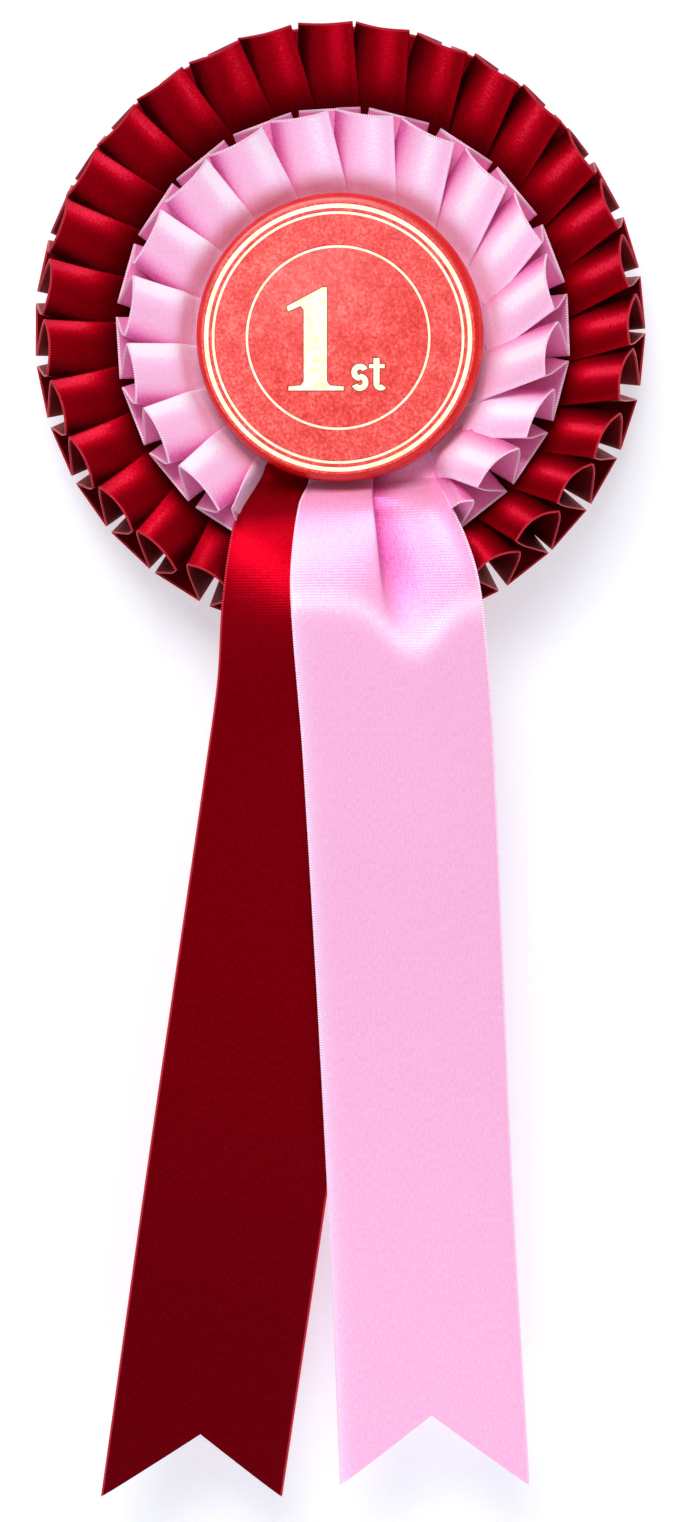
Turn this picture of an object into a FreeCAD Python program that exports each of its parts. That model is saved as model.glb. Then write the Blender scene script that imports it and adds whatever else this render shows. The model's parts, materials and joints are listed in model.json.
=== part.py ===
import FreeCAD, Part
import os

import Sketcher
from FreeCAD import Placement, Rotation, Vector

# A first-place rosette: two pleated satin tiers behind a covered button, with two
# swallow-tailed ribbons that hang from under the button and a brooch pin behind.
#
# Every piece is drawn flat, as it is seen from the front: x across, y up from the
# centre of the outer tier, and z towards the viewer from the back of that tier.
# A placement then stands it upright: x stays, y becomes +Z and z becomes -Y.
# The origin of the finished rosette is the middle of the pin's straight length.

doc = FreeCAD.newDocument("AwardRibbon")
sheet = doc.addObject("Spreadsheet::Sheet", "Sizes")

# Driving dimensions, in millimetres and degrees.
DIMENSIONS = [
    ("pin_rise", 16.0, "pin above the centre of the outer tier"),
    ("pin_depth", 6.1, "pin behind the back of the outer tier"),
    ("outer_hole", 37.0, "outer tier: radius of the stitched inner edge"),
    ("outer_back", 62.0, "outer tier: radius of the back folds"),
    ("outer_front", 57.0, "outer tier: radius of the front folds"),
    ("outer_rise", 15.5, "outer tier: height of the front folds"),
    ("outer_pleats", 31, "outer tier: number of box pleats"),
    ("inner_hole", 21.5, "inner tier: radius of the stitched inner edge"),
    ("inner_back", 45.6, "inner tier: radius of the back folds"),
    ("inner_front", 43.0, "inner tier: radius of the front folds"),
    ("inner_rise", 17.0, "inner tier: height of the front folds"),
    ("inner_seat", 10.6, "inner tier: height of the back folds, lifted by the outer tier"),
    ("inner_pleats", 20, "inner tier: number of box pleats"),
    ("inner_across", 0.6, "inner tier: sewn this far right of the outer tier"),
    ("inner_down", 2.65, "inner tier: sewn this far below the outer tier"),
    ("selvedge", 1.1, "tiers: thickness of the folded edge"),
    ("notch_run", 3.2, "tiers: depth of the notch between two back folds"),
    ("notch_width", 2.6, "tiers: width of that notch"),
    ("card_radius", 41.0, "base card"),
    ("card_thick", 0.9, "base card"),
    ("rear_radius", 33.0, "rear card that covers the stitches"),
    ("rear_thick", 0.8, "rear card"),
    ("glue_gap", 0.5, "glue between the cards"),
    ("pad_radius", 17.0, "spacer disc behind the button"),
    ("pad_top", 5.2, "spacer disc: height of its front face"),
    ("button_down", 3.6, "button centre below the outer tier's centre"),
    ("button_radius", 28.5, "button over its cover"),
    ("roll", 1.4, "button: radius of the rolled rim"),
    ("button_rear", 8.0, "button: height of its turned-in edge"),
    ("button_face", 13.6, "button: height of its printed face"),
    ("cover_thick", 0.4, "leathercloth cover"),
    ("shell_thick", 0.35, "pressed steel shell and back plate"),
    ("board_thick", 0.8, "card under the cover's face"),
    ("foil_thick", 0.08, "stamped gold foil"),
    ("foil_aside", 0.4, "how far the foil was stamped left of the button's middle"),
    ("foil_low", 0.5, "how far it was stamped below the button's middle"),
    ("ring_wide_out", 26.5, "wide foil ring"),
    ("ring_wide_in", 25.65, "wide foil ring"),
    ("ring_narrow_out", 24.95, "narrow foil ring"),
    ("ring_narrow_in", 24.45, "narrow foil ring"),
    ("ring_inner_out", 18.25, "inner foil ring"),
    ("ring_inner_in", 17.8, "inner foil ring"),
    ("tab_thick", 0.8, "tail ends, folded double under the button"),
    ("tail_thick", 0.5, "tails, over their curl"),
    ("tail_gap", 0.9, "pink tail in front of the red tail, middle to middle"),
    ("crease_down", 33.6, "crease where the tails start to swing, below the centre"),
    ("crease_up", 6.5, "height of the red tail's crease"),
    ("swell_down", 46.0, "where the tails have climbed onto the inner tier"),
    ("swell_up", 11.7, "their height there"),
    ("crest_down", 63.0, "where the tails leave the outer tier"),
    ("crest_up", 13.9, "their height there"),
    ("hang_up", 9.9, "height of the red tail at its tips"),
    ("gather_run", 34.0, "length over which a tail spreads to its full width"),
    ("red_across", -5.1, "red tail: middle of its crease"),
    ("red_line", 0.0, "red tail: middle of its hanging part, carried up to the crease"),
    ("red_crease", 26.0, "red tail: gathered width at its crease"),
    ("red_width", 36.4, "red tail: width as it hangs"),
    ("red_tilt", -8.4, "red tail: lean from straight down"),
    ("red_reach", 199.0, "red tail: crease to tips"),
    ("red_notch", 13.0, "red tail: depth of the swallow tail"),
    ("pink_across", 6.8, "pink tail: middle of its crease"),
    ("pink_line", 8.8, "pink tail: middle of its hanging part, carried up to the crease"),
    ("pink_crease", 27.0, "pink tail: gathered width at its crease"),
    ("pink_width", 37.5, "pink tail: width as it hangs"),
    ("pink_tilt", 2.9, "pink tail: lean from straight down"),
    ("pink_reach", 197.3, "pink tail: crease to tips"),
    ("pink_notch", 14.2, "pink tail: depth of the swallow tail"),
    ("press_left", -27.0, "dent that the tails press into the tiers: left side"),
    ("press_right", 31.0, "dent that the tails press into the tiers: right side"),
    ("press_gap", 0.7, "dent: clearance behind the red tail's middle"),
    ("tape_long", 30.0, "foam tape under the pin bar"),
    ("tape_wide", 7.0, "foam tape"),
    ("tape_thick", 1.0, "foam tape"),
    ("bar_thick", 0.7, "pin bar"),
    ("bar_wide", 5.2, "pin bar"),
    ("bar_left", -15.8, "pin bar: end at the rivet"),
    ("bar_right", 16.2, "pin bar: end at the catch"),
    ("rivet_across", -12.4, "pin: rivet, from the middle of the stem"),
    ("rivet_radius", 0.6, "pin: rivet"),
    ("eye_radius", 1.35, "pin: eye of the stem"),
    ("stem_radius", 0.45, "pin: stem"),
    ("stem_half", 10.2, "pin: half the straight length of the stem"),
    ("neck_radius", 0.7, "pin: crimped neck between the eye and the stem"),
    ("stem_tip", 16.0, "pin: point of the stem, from its middle"),
    ("barrel_start", 11.6, "pin catch: turning barrel, from the middle of the stem"),
    ("barrel_end", 15.4, "pin catch: outer end of the barrel"),
    ("barrel_radius", 1.5, "pin catch: barrel"),
    ("barrel_bore", 0.75, "pin catch: bore of the barrel"),
    ("barrel_slot", 1.2, "pin catch: slot of the barrel"),
    ("cradle_start", 12.5, "pin catch: cradle on the bar"),
    ("cradle_end", 13.9, "pin catch: cradle on the bar"),
    ("cradle_radius", 2.15, "pin catch: cradle"),
    ("running_gap", 0.06, "running clearance on a radius"),
]

for row, (alias, value, meaning) in enumerate(DIMENSIONS, start=1):
    sheet.set(f"A{row}", meaning)
    sheet.set(f"B{row}", str(value))
    sheet.setAlias(f"B{row}", alias)
doc.recompute()

FACING = Rotation(Vector(1, 0, 0), 90)
AXIS_Z = Vector(0, 0, 1)
pieces = []


def size(expression):
    """The number that an expression of the sheet comes to, such as 'Sizes.pad_top + 1'."""
    return float(sheet.evalExpression(expression.replace("Sizes.", "")))


def stand(piece, label, across="0", up="0"):
    """Label a piece and stand it upright, its own origin across and up from the tier's centre."""
    piece.Label = label
    piece.Placement = Placement(Vector(0, 0, 0), FACING)
    piece.setExpression(".Placement.Base.x", across)
    piece.setExpression(".Placement.Base.y", "-Sizes.pin_depth")
    piece.setExpression(".Placement.Base.z", f"{up} - Sizes.pin_rise")
    pieces.append(piece)
    return piece


def fix(sketch, kind, geometry, point, value):
    """Hold one coordinate of a sketch point at an expression, or on the axis where it is nought."""
    if abs(size(value)) < 1e-9:
        axis = -2 if kind == "DistanceX" else -1
        sketch.addConstraint(Sketcher.Constraint("PointOnObject", geometry, point, axis))
        return
    index = sketch.addConstraint(Sketcher.Constraint(kind, -1, 1, geometry, point, size(value)))
    sketch.setExpression(f"Constraints[{index}]", value)


def outline(sketch, corners):
    """Draw a closed chain of straight edges through corners given as pairs of expressions."""
    places = [Vector(size(x), size(y), 0) for x, y in corners]
    count = len(corners)
    for start in range(count):
        edge = Part.LineSegment(places[start], places[(start + 1) % count])
        sketch.addGeometry(edge, False)
    for start in range(count):
        sketch.addConstraint(Sketcher.Constraint("Coincident", start, 2, (start + 1) % count, 1))
    for start, (x, y) in enumerate(corners):
        fix(sketch, "DistanceX", start, 1, x)
        fix(sketch, "DistanceY", start, 1, y)


def circle(sketch, radius, x="0", y="0"):
    """Draw a circle of a radius given as an expression."""
    index = sketch.addGeometry(Part.Circle(Vector(size(x), size(y), 0), AXIS_Z, size(radius)), False)
    round_size = sketch.addConstraint(Sketcher.Constraint("Radius", index, size(radius)))
    sketch.setExpression(f"Constraints[{round_size}]", radius)
    if size(x) == 0 and size(y) == 0:
        sketch.addConstraint(Sketcher.Constraint("Coincident", index, 3, -1, 1))
    else:
        fix(sketch, "DistanceX", index, 3, x)
        fix(sketch, "DistanceY", index, 3, y)


def origin_part(body, role):
    """One of a body's own origin planes or axes, by its role."""
    return [part for part in body.Origin.OriginFeatures if part.Role == role][0]


def sketch_on(body, role, name, lift="0"):
    """A sketch on one of the body's origin planes, moved along the plane's normal by lift."""
    sketch = body.newObject("Sketcher::SketchObject", name)
    sketch.AttachmentSupport = [(origin_part(body, role), "")]
    sketch.MapMode = "FlatFace"
    sketch.setExpression(".AttachmentOffset.Base.z", lift)
    return sketch


def new_body(label, across="0", up="0"):
    """An empty PartDesign body that stands in the rosette."""
    body = doc.addObject("PartDesign::Body", label)
    stand(body, label, across, up)
    return body


def pad(body, sketch, length, midplane=False):
    """Pad a sketch along its normal, or half each way."""
    feature = body.newObject("PartDesign::Pad", sketch.Name + "_pad")
    feature.Profile = sketch
    feature.Midplane = midplane
    feature.setExpression("Length", length)
    return feature


def pocket(body, sketch, length, midplane=False):
    """Cut a sketch out of the body, and make sure that it removed something."""
    doc.recompute()
    before = body.Shape.Volume
    feature = body.newObject("PartDesign::Pocket", sketch.Name + "_cut")
    feature.Profile = sketch
    feature.Midplane = midplane
    feature.setExpression("Length", length)
    doc.recompute()
    if body.Shape.Volume > before - 1e-6:
        feature.Reversed = True
        doc.recompute()
    if body.Shape.Volume > before - 1e-6:
        raise RuntimeError(f"{sketch.Name} cuts nothing")
    return feature


def polar(body, feature, count):
    """Repeat a feature evenly round the body's own z axis."""
    pattern = body.newObject("PartDesign::PolarPattern", feature.Name + "_round")
    pattern.Originals = [feature]
    pattern.Axis = (origin_part(body, "Z_Axis"), [""])
    pattern.Angle = 360
    pattern.setExpression("Occurrences", count)
    body.Tip = pattern
    return pattern


def turned(body, corners):
    """Turn a profile of radius and height all the way round the body's z axis."""
    profile = sketch_on(body, "XZ_Plane", body.Name + "_profile")
    outline(profile, corners)
    feature = body.newObject("PartDesign::Revolution", body.Name + "_turned")
    feature.Profile = profile
    feature.ReferenceAxis = (profile, ["V_Axis"])
    feature.Angle = 360
    return feature


def disc(label, radius, bottom, thick, across="0", up="0"):
    """A plain round plate."""
    body = new_body(label, across, up)
    face = sketch_on(body, "XY_Plane", label + "_face", bottom)
    circle(face, radius)
    pad(body, face, thick)
    return body


def ring(label, outer, inner, bottom, thick, across="0", up="0"):
    """A flat ring."""
    body = new_body(label, across, up)
    face = sketch_on(body, "XY_Plane", label + "_face", bottom)
    circle(face, outer)
    circle(face, inner)
    pad(body, face, thick)
    return body


# ---- the pleated tiers -------------------------------------------------------------

TAIL_BACK = [
    ("Sizes.crease_down", "Sizes.crease_up"),
    ("Sizes.swell_down", "Sizes.swell_up"),
    ("Sizes.crest_down", "Sizes.crest_up"),
]


def press(body, down_of_centre, across_of_centre):
    """Dent a tier where the tails lie over it, from their crease to its outer edge."""
    side = sketch_on(body, "YZ_Plane", body.Name + "_dent",
                     f"(Sizes.press_left + Sizes.press_right) / 2 - {across_of_centre}")
    top = "Sizes.inner_rise + 8"
    inside = f"-10 + {down_of_centre}"
    outside = f"-Sizes.outer_back - 8 + {down_of_centre}"
    low = "Sizes.crease_up - Sizes.press_gap"
    corners = [(inside, top), (inside, "Sizes.pad_top - Sizes.press_gap")]
    corners.append((f"-Sizes.crease_down + 5 + {down_of_centre}", f"{low} - 0.6"))
    for down, up in TAIL_BACK:
        corners.append((f"-({down}) + {down_of_centre}", f"{up} - Sizes.press_gap"))
    corners.append((outside, "Sizes.crest_up - Sizes.press_gap"))
    corners.append((outside, top))
    outline(side, corners)
    pocket(body, side, "Sizes.press_right - Sizes.press_left", midplane=True)


def notches(body, back_radius, count):
    """Cut the gaps between neighbouring back folds all round the rim."""
    face = sketch_on(body, "XY_Plane", body.Name + "_notch", "-1")
    outline(face, [
        (f"{back_radius} - Sizes.notch_run", "0"),
        (f"{back_radius} + 1", "Sizes.notch_width / 2"),
        (f"{back_radius} + 1", "-Sizes.notch_width / 2"),
    ])
    cut = pocket(body, face, "Sizes.inner_rise + 2")
    polar(body, cut, count)


def outer_tier():
    """The wide red tier: flat behind, thin at the stitching, standing open at the rim."""
    body = new_body("outer_tier")
    turned(body, [
        ("Sizes.outer_hole", "0"),
        ("Sizes.outer_back", "0"),
        ("Sizes.outer_back", "Sizes.selvedge"),
        ("Sizes.outer_front", "Sizes.outer_rise"),
        ("Sizes.outer_hole", "2"),
    ])
    press(body, "0", "0")
    notches(body, "Sizes.outer_back", "Sizes.outer_pleats")


def inner_tier():
    """The narrower pink tier, whose rim rides up on the red one."""
    body = new_body("inner_tier", "Sizes.inner_across", "-Sizes.inner_down")
    turned(body, [
        ("Sizes.inner_hole", "0"),
        ("Sizes.outer_hole - 5.5", "0"),
        ("Sizes.outer_hole - 3.5", "2.6"),
        ("Sizes.inner_back", "Sizes.inner_seat"),
        ("Sizes.inner_back", "Sizes.inner_seat + Sizes.selvedge"),
        ("Sizes.inner_front", "Sizes.inner_rise"),
        ("Sizes.inner_hole", "3"),
    ])
    press(body, "Sizes.inner_down", "Sizes.inner_across")
    notches(body, "Sizes.inner_back", "Sizes.inner_pleats")


# ---- the cards, stitches and glue behind -------------------------------------------

def stitches(label, radius, count, across="0", up="0"):
    """Running stitches on the back of the base card, one to a pleat."""
    body = new_body(label, across, up)
    face = sketch_on(body, "XY_Plane", label + "_thread", "-Sizes.card_thick - 0.3")
    outline(face, [
        (f"{radius} - 0.25", "-1.3"),
        (f"{radius} + 0.25", "-1.3"),
        (f"{radius} + 0.25", "1.3"),
        (f"{radius} - 0.25", "1.3"),
    ])
    polar(body, pad(body, face, "0.3"), count)


def rear_glue():
    """Five dabs of glue that hold the rear card off the stitches."""
    body = new_body("rear_glue")
    face = sketch_on(body, "XY_Plane", "rear_glue_dab", "-Sizes.card_thick - Sizes.glue_gap")
    circle(face, "4", "Sizes.pad_radius - 4.5")
    polar(body, pad(body, face, "Sizes.glue_gap"), "5")


# ---- the button --------------------------------------------------------------------

BUTTON = {"across": "0", "up": "-Sizes.button_down"}
FIGURES = {"across": "-Sizes.foil_aside + 0.1", "up": "-Sizes.button_down - Sizes.foil_low + 0.25"}
CORE = "(Sizes.button_radius - Sizes.cover_thick)"


def button_back():
    """A steel plate with a shallow well, pressed into the shell to close it."""
    body = new_body("button_back", **BUTTON)
    well = "Sizes.pad_radius - 3"
    rear = "Sizes.button_rear - 0.6"
    turned(body, [
        ("0", rear),
        (well, rear),
        (f"{well} + 1.5", "Sizes.button_rear + 0.5"),
        (f"{CORE} - 1.8", "Sizes.button_rear + 0.5"),
        (f"{CORE} - 1.8", "Sizes.button_rear + 0.5 + Sizes.shell_thick"),
        (f"{well} + 1.2", "Sizes.button_rear + 0.5 + Sizes.shell_thick"),
        (f"{well} - 0.3", "Sizes.button_rear"),
        ("0", "Sizes.button_rear"),
    ])


def round_over(body, ring_radius, height, radius):
    """Round one circular edge of a turned piece, found by its radius and its height."""
    doc.recompute()
    turned_piece = body.Tip
    names = []
    for index, edge in enumerate(turned_piece.Shape.Edges, start=1):
        if not isinstance(edge.Curve, Part.Circle):
            continue
        same_ring = abs(edge.Curve.Radius - size(ring_radius)) < 1e-4
        if same_ring and abs(edge.BoundBox.ZMax - size(height)) < 1e-4:
            names.append(f"Edge{index}")
    if not names:
        raise RuntimeError(f"{body.Name} has no edge of radius {ring_radius} at {height}")
    feature = body.newObject("PartDesign::Fillet", body.Name + "_round_over")
    feature.Base = (turned_piece, names)
    feature.setExpression("Radius", radius)


def button_shell():
    """The pressed steel cup that gives the button its flat face and rolled rim."""
    body = new_body("button_shell", **BUTTON)
    top = "Sizes.button_face - Sizes.cover_thick - Sizes.board_thick"
    turned(body, [
        ("0", f"{top} - Sizes.shell_thick"),
        (f"{CORE} - Sizes.shell_thick", f"{top} - Sizes.shell_thick"),
        (f"{CORE} - Sizes.shell_thick", "Sizes.button_rear + Sizes.cover_thick"),
        (CORE, "Sizes.button_rear + Sizes.cover_thick"),
        (CORE, top),
        ("0", top),
    ])
    round_over(body, CORE, top, "Sizes.roll - Sizes.cover_thick")


def button_cover():
    """The red leathercloth drawn over card and shell and turned in behind."""
    outside = doc.addObject("PartDesign::Body", "cover_outside")
    turned(outside, [
        ("0", "Sizes.button_rear"),
        ("Sizes.button_radius", "Sizes.button_rear"),
        ("Sizes.button_radius", "Sizes.button_face"),
        ("0", "Sizes.button_face"),
    ])
    round_over(outside, "Sizes.button_radius", "Sizes.button_face", "Sizes.roll")
    inside = doc.addObject("PartDesign::Body", "cover_inside")
    turned(inside, [
        ("0", "Sizes.button_rear - 1"),
        (f"{CORE} - 1.6", "Sizes.button_rear - 1"),
        (f"{CORE} - 1.6", "Sizes.button_rear + Sizes.cover_thick"),
        (CORE, "Sizes.button_rear + Sizes.cover_thick"),
        (CORE, "Sizes.button_face - Sizes.cover_thick"),
        ("0", "Sizes.button_face - Sizes.cover_thick"),
    ])
    round_over(inside, CORE, "Sizes.button_face - Sizes.cover_thick",
               "Sizes.roll - Sizes.cover_thick")
    cover = doc.addObject("Part::Cut", "button_cover")
    cover.Base = outside
    cover.Tool = inside
    stand(cover, "button_cover", **BUTTON)


def foil_numeral():
    """A plain slab numeral 1, stamped in gold foil."""
    body = new_body("foil_numeral", **FIGURES)
    face = sketch_on(body, "XY_Plane", "foil_numeral_face", "Sizes.button_face")
    stem_left, stem_right, foot, head = -6.9, -2.3, -10.7, 9.7
    outline(face, [(str(x), str(y)) for x, y in [
        (stem_right, head), (stem_right, foot + 1.8), (stem_right + 0.6, foot + 1.0),
        (1.0, foot + 0.8), (1.0, foot), (-9.9, foot), (-9.9, foot + 0.8),
        (stem_left - 0.6, foot + 1.0), (stem_left, foot + 1.8), (stem_left, 5.2),
        (stem_left - 0.6, 6.0), (-10.0, 4.9), (-10.3, 5.9), (-3.2, head),
    ]])
    pad(body, face, "Sizes.foil_thick")


def bow(centre, outer, inner, start, end):
    """A flat band bent along part of a circle, from one angle to another."""
    height = size("Sizes.foil_thick")
    band = Part.makeCylinder(outer, height, centre, AXIS_Z, end - start)
    band = band.cut(Part.makeCylinder(inner, height, centre, AXIS_Z, 360))
    band.rotate(centre, AXIS_Z, start)
    return band


def foil_suffix():
    """The small ordinal letters beside the numeral, drawn as plain bows and bars."""
    height = size("Sizes.foil_thick")
    face = size("Sizes.button_face")
    outer, inner = 1.7, 0.55
    upper = Vector(4.2, -7.1, face)
    lower = Vector(4.2, -9.1, face)
    letter_s = bow(upper, outer, inner, 25, 270).fuse(bow(lower, outer, inner, -155, 90))
    stem = Part.makeBox(1.2, 5.0, height, Vector(6.9, -9.3, face))
    bar = Part.makeBox(3.1, 0.8, height, Vector(6.0, -6.3, face))
    hook = bow(Vector(8.3, -9.3, face), 1.4, 0.3, 180, 320)
    letter_t = stem.fuse([bar, hook])
    suffix = doc.addObject("Part::Feature", "foil_suffix")
    suffix.Shape = Part.makeCompound([letter_s.removeSplitter(), letter_t.removeSplitter()])
    stand(suffix, "foil_suffix", **FIGURES)


# ---- the tails ---------------------------------------------------------------------

def loose_sketch(name, plane_turn):
    """A sketch on a plane of the document, for a piece that is made by Part tools."""
    sketch = doc.addObject("Sketcher::SketchObject", name)
    sketch.Placement = Placement(Vector(0, 0, 0), plane_turn)
    return sketch


def extrusion(name, sketch, direction, length, symmetric=False):
    """A solid drawn along a direction from a sketch."""
    solid = doc.addObject("Part::Extrusion", name)
    solid.Base = sketch
    solid.Dir = direction
    solid.Symmetric = symmetric
    solid.Solid = True
    solid.LengthFwd = length
    return solid


SIDE_VIEW = Rotation(Vector(1, 1, 1), 120)
STRIP_SPAN = 160
BLOCK_DEPTH = 40


def strip(name, points, thick):
    """A band as wide as the rosette, bent along points of y and height, its middle surface."""
    side = loose_sketch(name + "_side", SIDE_VIEW)
    below = [(y, f"{up} - {thick} / 2") for y, up in points]
    above = [(y, f"{up} + {thick} / 2") for y, up in reversed(points)]
    outline(side, below + above)
    return extrusion(name + "_strip", side, Vector(1, 0, 0), STRIP_SPAN, symmetric=True)


def cut_to(name, label, corners, band):
    """Cut a bent band to the outline that it has from the front."""
    face = loose_sketch(name + "_face", Rotation())
    outline(face, corners)
    block = extrusion(name + "_block", face, AXIS_Z, BLOCK_DEPTH)
    common = doc.addObject("Part::Common", name)
    common.Base = band
    common.Tool = block
    stand(common, label)


def tail_point(colour, along, across):
    """A point of a tail from its crease: along its lean and across from its middle line."""
    lean = f"Sizes.{colour}_tilt"
    x = f"Sizes.{colour}_line + ({along}) * sin({lean}) + ({across}) * cos({lean})"
    y = f"-Sizes.crease_down - ({along}) * cos({lean}) + ({across}) * sin({lean})"
    return (x, y)


def tail(colour, lift):
    """One hanging ribbon: gathered at the crease, full width below, cut to a swallow tail."""
    bend = [(f"-({down})", f"{up} + {lift}") for down, up in TAIL_BACK]
    bend.append((f"-Sizes.crease_down - Sizes.{colour}_reach - 10", f"Sizes.hang_up + {lift}"))
    band = strip(colour + "_tail", bend, "Sizes.tail_thick")
    half = f"Sizes.{colour}_width / 2"
    reach = f"Sizes.{colour}_reach"
    top = f"Sizes.{colour}_crease / 2"
    crease = "-Sizes.crease_down"
    middle = f"Sizes.{colour}_across"
    cut_to(colour + "_tail", colour + "_tail", [
        (f"{middle} - {top}", crease),
        tail_point(colour, "Sizes.gather_run / 2", f"-({top} + {half}) / 2 - 1.5"),
        tail_point(colour, "Sizes.gather_run", f"-{half}"),
        tail_point(colour, reach, f"-{half}"),
        tail_point(colour, f"{reach} - Sizes.{colour}_notch", "0"),
        tail_point(colour, reach, half),
        tail_point(colour, "Sizes.gather_run", half),
        tail_point(colour, "Sizes.gather_run / 2", f"({top} + {half}) / 2 + 1.5"),
        (f"{middle} + {top}", crease),
    ], band)


def tail_tab(colour, lift, bottom, clear):
    """The end of a ribbon, folded double and stapled to the spacer under the button."""
    back = f"{bottom} + Sizes.tab_thick / 2"
    edge = "-Sizes.button_down - Sizes.pad_radius"
    end = f"-Sizes.crease_down + {clear}"
    band = strip(colour + "_tail_tab", [
        ("-Sizes.button_down + 2", back),
        (edge, back),
        (end, f"Sizes.crease_up + {lift}"),
    ], "Sizes.tab_thick")
    half = f"Sizes.{colour}_crease / 2"
    middle = f"Sizes.{colour}_across"
    top = "-Sizes.button_down + 2"
    cut_to(colour + "_tail_tab", colour + "_tail_tab", [
        (f"{middle} - {half}", end),
        (f"{middle} + {half}", end),
        (f"{middle} + {half}", edge),
        (f"{middle} / 2 + {half} - 3", top),
        (f"{middle} / 2 - {half} + 3", top),
        (f"{middle} - {half}", edge),
    ], band)


def staple(across, up):
    """One wire staple: a crown on the tabs and two legs down through them into the spacer."""
    wire, crown, leg = 0.45, 10.0, 3.2
    top = size("Sizes.pad_top + 2 * Sizes.tab_thick")
    bar = Part.makeBox(crown, 0.7, wire, Vector(across - crown / 2, up - 0.35, top))
    legs = []
    for side in (-1, 1):
        foot_left = across + side * (crown - wire) / 2 - wire / 2
        legs.append(Part.makeBox(wire, 0.7, leg, Vector(foot_left, up - 0.35, top - leg)))
    return bar.fuse(legs).removeSplitter()


def tail_staples():
    """Two staples side by side through both tabs."""
    up = size("-Sizes.button_down - 10")
    staples = doc.addObject("Part::Feature", "tail_staples")
    staples.Shape = Part.makeCompound([staple(-5.5, up), staple(6.5, up + 1.0)])
    stand(staples, "tail_staples")


# ---- the brooch pin ----------------------------------------------------------------

PIN = {"across": "0", "up": "Sizes.pin_rise"}
BAR_REAR = "-Sizes.pin_depth + 2.2"


def plate(body, name, left, right, low, high, bottom, thick):
    """Pad a rectangle, from left to right and low to high."""
    face = sketch_on(body, "XY_Plane", name, bottom)
    outline(face, [(left, low), (right, low), (right, high), (left, high)])
    return pad(body, face, thick)


def pin_tape():
    """The foam tape that sticks the bar to the rear card."""
    body = new_body("pin_tape", **PIN)
    rear_face = "-Sizes.card_thick - Sizes.glue_gap - Sizes.rear_thick"
    plate(body, "tape_face", "-Sizes.tape_long / 2", "Sizes.tape_long / 2",
          "-Sizes.tape_wide / 2", "Sizes.tape_wide / 2",
          f"{rear_face} - Sizes.tape_thick", "Sizes.tape_thick")


def pin_bar():
    """The steel bar, with two ears for the rivet at one end and the catch's cradle at the other."""
    body = new_body("pin_bar", **PIN)
    plate(body, "bar_face", "Sizes.bar_left", "Sizes.bar_right",
          "-Sizes.bar_wide / 2", "Sizes.bar_wide / 2", BAR_REAR, "Sizes.bar_thick")
    ear_end = "-Sizes.pin_depth - 1.2"
    ear_tall = f"{BAR_REAR} - ({ear_end})"
    for side, low, high in (("ear_low", "-1.6", "-1.1"), ("ear_high", "1.1", "1.6")):
        plate(body, side, "Sizes.rivet_across - 1.4", "Sizes.rivet_across + 1.4",
              low, high, ear_end, ear_tall)
    end_view = sketch_on(body, "YZ_Plane", "cradle_ring", "(Sizes.cradle_start + Sizes.cradle_end) / 2")
    circle(end_view, "Sizes.cradle_radius", "0", "-Sizes.pin_depth")
    cradle = "Sizes.cradle_end - Sizes.cradle_start"
    pad(body, end_view, cradle, midplane=True)
    plate(body, "cradle_foot", "Sizes.cradle_start", "Sizes.cradle_end", "-1.2", "1.2",
          "-Sizes.pin_depth + 1.6", "0.9")
    bore = sketch_on(body, "YZ_Plane", "cradle_bore", "(Sizes.cradle_start + Sizes.cradle_end) / 2")
    circle(bore, "Sizes.barrel_radius + Sizes.running_gap", "0", "-Sizes.pin_depth")
    pocket(body, bore, f"{cradle} + 0.2", midplane=True)
    mouth = sketch_on(body, "YZ_Plane", "cradle_mouth", "(Sizes.cradle_start + Sizes.cradle_end) / 2")
    half = "(Sizes.barrel_slot + 0.3) / 2"
    outline(mouth, [
        (f"-{half}", "-Sizes.pin_depth"), (half, "-Sizes.pin_depth"),
        (half, "-Sizes.pin_depth - 3"), (f"-{half}", "-Sizes.pin_depth - 3"),
    ])
    pocket(body, mouth, f"{cradle} + 0.2", midplane=True)
    rivet_hole = sketch_on(body, "XZ_Plane", "rivet_hole")
    circle(rivet_hole, "Sizes.rivet_radius", "Sizes.rivet_across", "-Sizes.pin_depth")
    pocket(body, rivet_hole, "5", midplane=True)


def pin_rivet():
    """The rivet that the stem turns on: a shank with a flat head on each ear."""
    body = new_body("pin_rivet", **PIN)
    for name, radius, length, lift in (
        ("shank", "Sizes.rivet_radius", "4", "0"),
        ("head_high", "Sizes.rivet_radius + 0.4", "0.4", "-1.8"),
        ("head_low", "Sizes.rivet_radius + 0.4", "0.4", "1.8"),
    ):
        face = sketch_on(body, "XZ_Plane", name, lift)
        circle(face, radius, "Sizes.rivet_across", "-Sizes.pin_depth")
        pad(body, face, length, midplane=True)


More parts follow.
